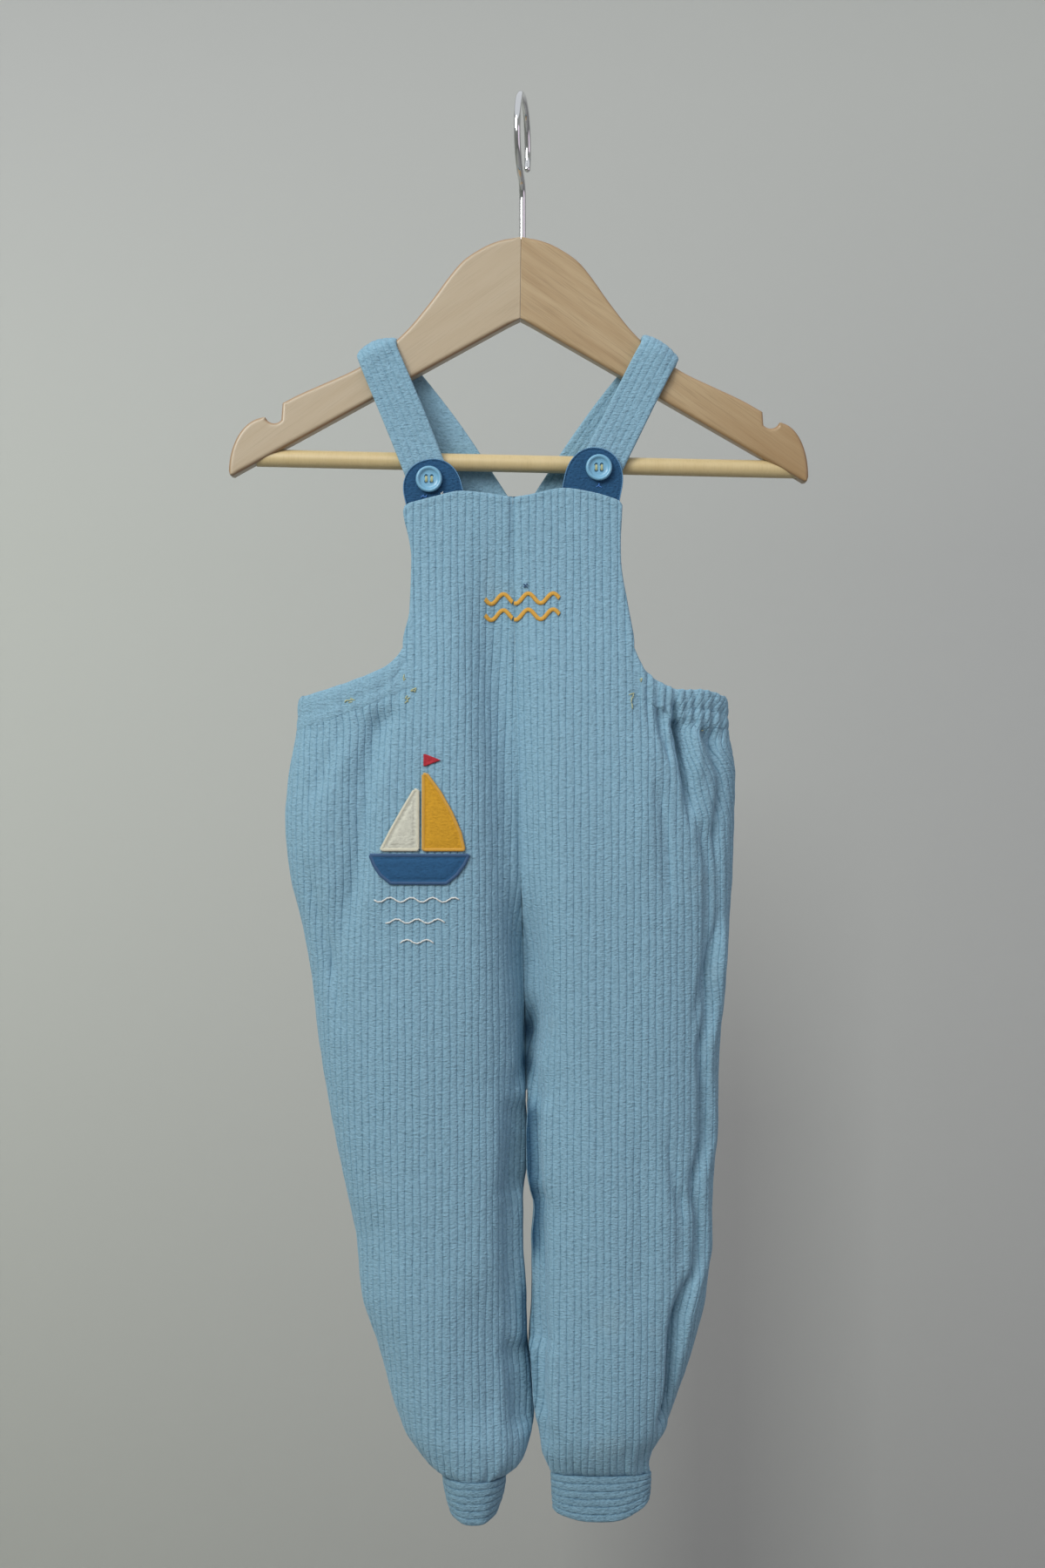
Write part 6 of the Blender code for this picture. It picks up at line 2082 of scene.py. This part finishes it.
for half in SIDES:
    finished(make_button(half, button_finish), "button", f"button_{half}")
for half in SIDES:
    finished(make_arm(half, wood_material(f"wood_{half}")), "wood", f"hanger_arm_{half}")
long = BAR_REACH["left"] + BAR_REACH["right"]
middle = bar_place(BAR_REACH["right"] - long / 2)
bar = cylinder("bar", BAR_RADIUS, long, BAR_SIDES, middle, wood_material("dowel"))
finished(bar, "dowel", "hanger_bar")
finished(make_hook(chrome), "wire", "hanger_hook")


# ---------------------------------------------------------------- stitching
def stitched(name, parts, radius, finish, lift=0.3):
    finished(thread(name, *joined(parts), radius, finish, lift), "thread")


# Where a front casing's stitches show: the row, and the stretch of it.
Seam = namedtuple("Seam", "half row start stop")
SEAMS = (
    Seam("left", "lower", -100.0, -108.6),
    Seam("right", "upper", 92.4, 108.6),
    Seam("right", "lower", 99.5, 108.6),
)


Stitches = namedtuple("Stitches", "lift stitch gap")
SEAM_STITCHES = Stitches(-0.3, 1.9, 1.0)
WATER_STITCHES = Stitches(0.25, 2.9, -0.9)
KNOT_STITCHES = Stitches(0.3, 0.9, 0.1)
Satin = namedtuple("Satin", "wide lift spacing")
CHEST_SATIN = Satin(2.3, 0.3, 0.30)
BORDER_SATIN = Satin(BORDER_WIDE, 0.75, 0.36)


def casing_seams():
    """The rows of stitches along the front casings, where the pile leaves them bare."""
    parts = []
    for seam in SEAMS:
        x = np.linspace(seam.start, seam.stop, 30)
        drop = casing_edge(seam.half, "lower", x)
        if seam.row == "upper":
            drop = casing_top(seam.half, "front", seam.half, x) + CASING_STITCH
        parts.append(running(seam.half, x, drop, *SEAM_STITCHES))
    return parts


# Bar tacks and loose ends of thread: where, how long and how far they turn from level.
Tack = namedtuple("Tack", "half x drop long turn")
TACKS = (
    Tack("left", -58.9, 326.2, 3.4, 24),
    Tack("left", -58.0, 327.0, 2.6, 70),
    Tack("left", -59.6, 327.2, 2.4, 5),
    Tack("left", -62.9, 330.6, 2.4, 62),
    Tack("left", -62.2, 332.2, 2.6, 104),
    Tack("left", -61.8, 331.2, 2.2, 22),
    Tack("left", -63.0, 333.2, 2.2, 40),
    Tack("left", -64.3, 319.6, 3.2, 80),
    Tack("left", -63.9, 321.0, 2.0, 50),
    Tack("left", -94.4, 332.2, 4.8, 4),
    Tack("left", -92.2, 331.6, 3.0, -24),
    Tack("left", -96.2, 332.6, 2.2, 50),
    Tack("left", -93.4, 333.2, 2.6, 12),
    Tack("right", 59.1, 328.8, 3.4, 18),
    Tack("right", 59.8, 330.0, 2.6, 80),
    Tack("right", 58.9, 332.2, 3.2, 86),
    Tack("right", 59.3, 335.4, 3.2, 94),
    Tack("right", 65.2, 320.0, 4.0, 38),
    Tack("right", 64.6, 321.2, 2.6, 70),
    Tack("right", 99.2, 348.3, 2.0, 10),
)
TACK_LIFT = 0.15
Mark = namedtuple("Mark", "x drop long turn")
TAB_MARKS = {
    "bright": (
        Mark(-54.8, 220.2, 2.4, 35),
        Mark(-53.4, 220.6, 2.2, -20),
        Mark(-52.6, 220.0, 1.6, 60),
        Mark(41.2, 214.6, 2.4, 30),
        Mark(42.6, 215.0, 2.2, -30),
        Mark(41.8, 213.8, 1.6, 80),
    ),
    "white": (
        Mark(-43.9, 218.4, 1.9, 60),
        Mark(-43.2, 219.0, 1.7, 10),
        Mark(-44.5, 218.9, 1.5, 110),
    ),
}


def tab_marks(marks):
    """Loose stitches on the tabs, below the buttons."""
    x, drop, long, turn = (np.array(column(marks, field)) for field in Mark._fields)
    run, rise = long / 2 * np.cos(np.radians(turn)), long / 2 * np.sin(np.radians(turn))
    face = np.full(len(x), TAB_DEPTH - TAB_THICK / 2 - TAB_INSET)
    starts = np.stack([x - run, face, -(drop + rise)], axis=-1)
    ends = np.stack([x + run, face, -(drop - rise)], axis=-1)
    return [(starts, ends, np.tile(FORWARD, (len(x), 1)))]


def tacks(table):
    starts, ends, normals = [], [], []
    for tack in table:
        turn = math.radians(tack.turn)
        run, rise = tack.long / 2 * math.cos(turn), tack.long / 2 * math.sin(turn)
        start, normal = on_front(tack.half, tack.x - run, tack.drop + rise, TACK_LIFT)
        end, _ = on_front(tack.half, tack.x + run, tack.drop - rise, TACK_LIFT)
        starts.append(start)
        ends.append(end)
        normals.append(normal)
    return [(np.array(starts), np.array(ends), np.array(normals))]


# Wavy lines: how far they go at this drop, how high and long a wave is, and where it starts.
Wave = namedtuple("Wave", "left right drop high long phase", defaults=(0.0,))
WATER = (
    Wave(-80, -34, 440.0, 1.5, 11.5),
    Wave(-74, -40, 451.5, 1.4, 11.0, 1.1),
    Wave(-66, -46, 462.5, 1.3, 10.5, 2.4),
)
CHEST = (Wave(-20.5, 20.0, 276.6, 2.7, 13.5), Wave(-20.5, 20.0, 285.4, 2.7, 13.5))
WAVE_STEPS = 160
# The rows on the chest stop short of the centre seam on either side.
CHEST_GAP = {"left": -5.2, "right": -4.6}
# The knot is two lines of stitches that cross.
KNOT = ((Place(0.6, 268.6), Place(2.8, 270.8)), (Place(2.8, 268.6), Place(0.6, 270.8)))
BORDERS = {"hull": "navy", "sail": "yellow", "jib": "cream"}


def wave_line(wave):
    x = np.linspace(wave.left, wave.right, WAVE_STEPS)
    return x, wave.drop + wave.high * np.sin(2 * np.pi * (x - wave.left) / wave.long + wave.phase)


def chest_waves():
    """The yellow rows on the chest, each in two parts."""
    parts = []
    for x, drop in map(wave_line, CHEST):
        for half, shown in (("left", x < CHEST_GAP["left"]), ("right", x > CHEST_GAP["right"])):
            parts.append(satin(half, x[shown], drop[shown], *CHEST_SATIN))
    return parts


def knot_stitches():
    return [
        running("right", np.array([a.x, b.x]), np.array([a.drop, b.drop]), *KNOT_STITCHES)
        for a, b in KNOT
    ]


def on_tab_line(half, u, v, stitch, gap, lift):
    along = lengths_along(u, v)
    begin = np.arange(0, along[-1] - stitch, stitch + gap)
    ends = [
        on_tab(half, np.interp(begin + reach, along, u), np.interp(begin + reach, along, v), lift)
        for reach in (0, stitch)
    ]
    return ends[0], ends[1], np.tile(FORWARD, (len(begin), 1))


stitched("stitches_casing", casing_seams(), 0.22, threads["seam"], 0.16)
stitched("tacks", tacks(TACKS), 0.27, threads["straw"], 0.35)
for name, marks in TAB_MARKS.items():
    stitched(f"tab_marks_{name}", tab_marks(marks), 0.25, threads[name], 0.1)
water = [running("left", *wave_line(wave), *WATER_STITCHES) for wave in WATER]
stitched("embroidery_water", water, 0.42, threads["white"], 0.25)
stitched("embroidery_chest", chest_waves(), 0.20, threads["yellow"], 0.42)
stitched("embroidery_knot", knot_stitches(), 0.42, threads["navy"], 0.5)
for name, colour in BORDERS.items():
    border = satin("left", *patch_outline(PATCHES[f"patch_{name}"]), *BORDER_SATIN)
    stitched(f"border_{name}", [border], 0.21, threads[colour], 0.38)
for half in SIDES:
    u, v = tab_outline(TABS[half], 0.32)
    edge = on_tab_line(half, u, v, 1.5, -0.35, -0.12)
    stitched(f"stitches_tab_{half}", [edge], 0.26, threads["edge"], 0.12)
starts, ends, normals = button_threads()
finished(thread("threads_buttons", starts, ends, normals, 0.17, threads["straw"], 0.55), "thread")

# ---------------------------------------------------------------- room, light and camera
WALL_RADIUS = 3.5
# Where the painted shadow of the garment lies on the wall: its middle across, and its reach either side.
PAINTED_SHADOW_X = 0.42
PAINTED_SHADOW_REACH = 0.34
FLOOR = -2.4
CEILING = 2.4
ROOM_SIDES = 96
# The wall's colours, with light and shade painted in: upper and lower, each at its left and right, paler up
# and to the left; then its painted shadow of the garment and its paler painted top.
WALL_UPPER = ((0.475, 0.495, 0.455), (0.425, 0.43, 0.43))
WALL_LOWER = ((0.43, 0.44, 0.405), (0.38, 0.38, 0.378))
WALL_PAINTED_SHADOW = (0.29, 0.29, 0.288)
WALL_TOP_PAINTED_LIGHT = (0.50, 0.51, 0.49)
CAMERA_PLACE = (0.0, -1.202, -0.3776)
LENS = 50.0
SENSOR_WIDTH = 36.0
SIGHT = 50.0
Light = namedtuple("Light", "place target size power colour", defaults=((1, 1, 1),))
LIGHTS = {
    "key": Light((-1.7, -1.7, 1.0), (0, 0, -0.34), 1.0, 36, (1.0, 0.99, 0.96)),
    "front": Light((-0.9, -2.1, 1.0), (0, 0, -0.3), 1.6, 27, (0.98, 0.99, 1.0)),
    "fill": Light((2.2, -1.5, -0.2), (0, 0, -0.45), 2.0, 9, (1.0, 0.82, 1.0)),
    "wall_glow": Light((-1.0, 0.9, 0.0), (-0.5, 3.4, -0.9), 2.4, 40),
}
WORLD_COLOUR = (0.92, 0.96, 1.0, 1)
WORLD_STRENGTH = 0.72


def make_room():
    """A wall all round and a floor, far from the piece, with light and shade painted into their colour."""
    made, tree, shader = nodes_of("wall")
    axes = apart(tree, coordinates(tree))
    # Painted light: paler to the left and to the top, darker to the right and towards the bottom.
    across = ramp(tree, axes["X"], -1.2, 1.4)
    down = ramp(tree, axes["Z"], 0.6, -2.4)
    side = mixed(tree, across, *WALL_UPPER)
    low = mixed(tree, across, *WALL_LOWER)
    shade = mixed(tree, down, side, low)
    # Painted shadow of the garment on the wall, low and to its right.
    away = maths(tree, "ABSOLUTE", maths(tree, "ADD", axes["X"], -PAINTED_SHADOW_X))
    near = ramp(tree, away, PAINTED_SHADOW_REACH, 0.04)
    deep = ramp(tree, axes["Z"], -0.35, -1.1)
    shade = mixed(tree, maths(tree, "MULTIPLY", near, deep), shade, WALL_PAINTED_SHADOW)
    # Painted light: paler towards the top.
    shade = mixed(tree, ramp(tree, axes["Z"], 0.1, 1.1), shade, WALL_TOP_PAINTED_LIGHT)
    tree.links.new(shade, shader.inputs["Base Color"])
    shader.inputs["Roughness"].default_value = 0.95
    shader.inputs["Specular IOR Level"].default_value = 0.1
    turns = np.arange(ROOM_SIDES) * 2 * np.pi / ROOM_SIDES
    points = [
        (WALL_RADIUS * math.cos(turn), WALL_RADIUS * math.sin(turn), height)
        for height in (FLOOR, CEILING)
        for turn in turns
    ]
    faces = [tuple(reversed(face)) for face in ring_faces(2, ROOM_SIDES)]
    faces.append(tuple(range(ROOM_SIDES)))
    room = add_mesh("room", np.array(points) / MM, faces, made, creased=40)


def make_camera():
    data = bpy.data.cameras.new("camera")
    data.lens = LENS
    data.sensor_width = SENSOR_WIDTH
    data.sensor_fit = "AUTO"
    data.clip_end = SIGHT
    camera = bpy.data.objects.new("camera", data)
    bpy.context.scene.collection.objects.link(camera)
    camera.location = CAMERA_PLACE
    camera.rotation_euler = (math.radians(90), 0, 0)
    bpy.context.scene.camera = camera


def add_light(name, light):
    data = bpy.data.lights.new(name, "AREA")
    data.shape = "SQUARE"
    data.size = light.size
    data.energy = light.power
    data.color = light.colour
    lamp = bpy.data.objects.new(name, data)
    bpy.context.scene.collection.objects.link(lamp)
    lamp.location = light.place
    way = Vector(light.target) - Vector(light.place)
    lamp.rotation_euler = way.to_track_quat("-Z", "Y").to_euler()


def make_world():
    """Soft light from all round."""
    world = bpy.data.worlds.new("world")
    world.use_nodes = True
    glow = world.node_tree.nodes["Background"]
    glow.inputs["Color"].default_value = WORLD_COLOUR
    glow.inputs["Strength"].default_value = WORLD_STRENGTH
    bpy.context.scene.world = world


make_room()
make_camera()
for name, light in LIGHTS.items():
    add_light(name, light)
make_world()
bpy.context.scene.view_settings.view_transform = "Standard"
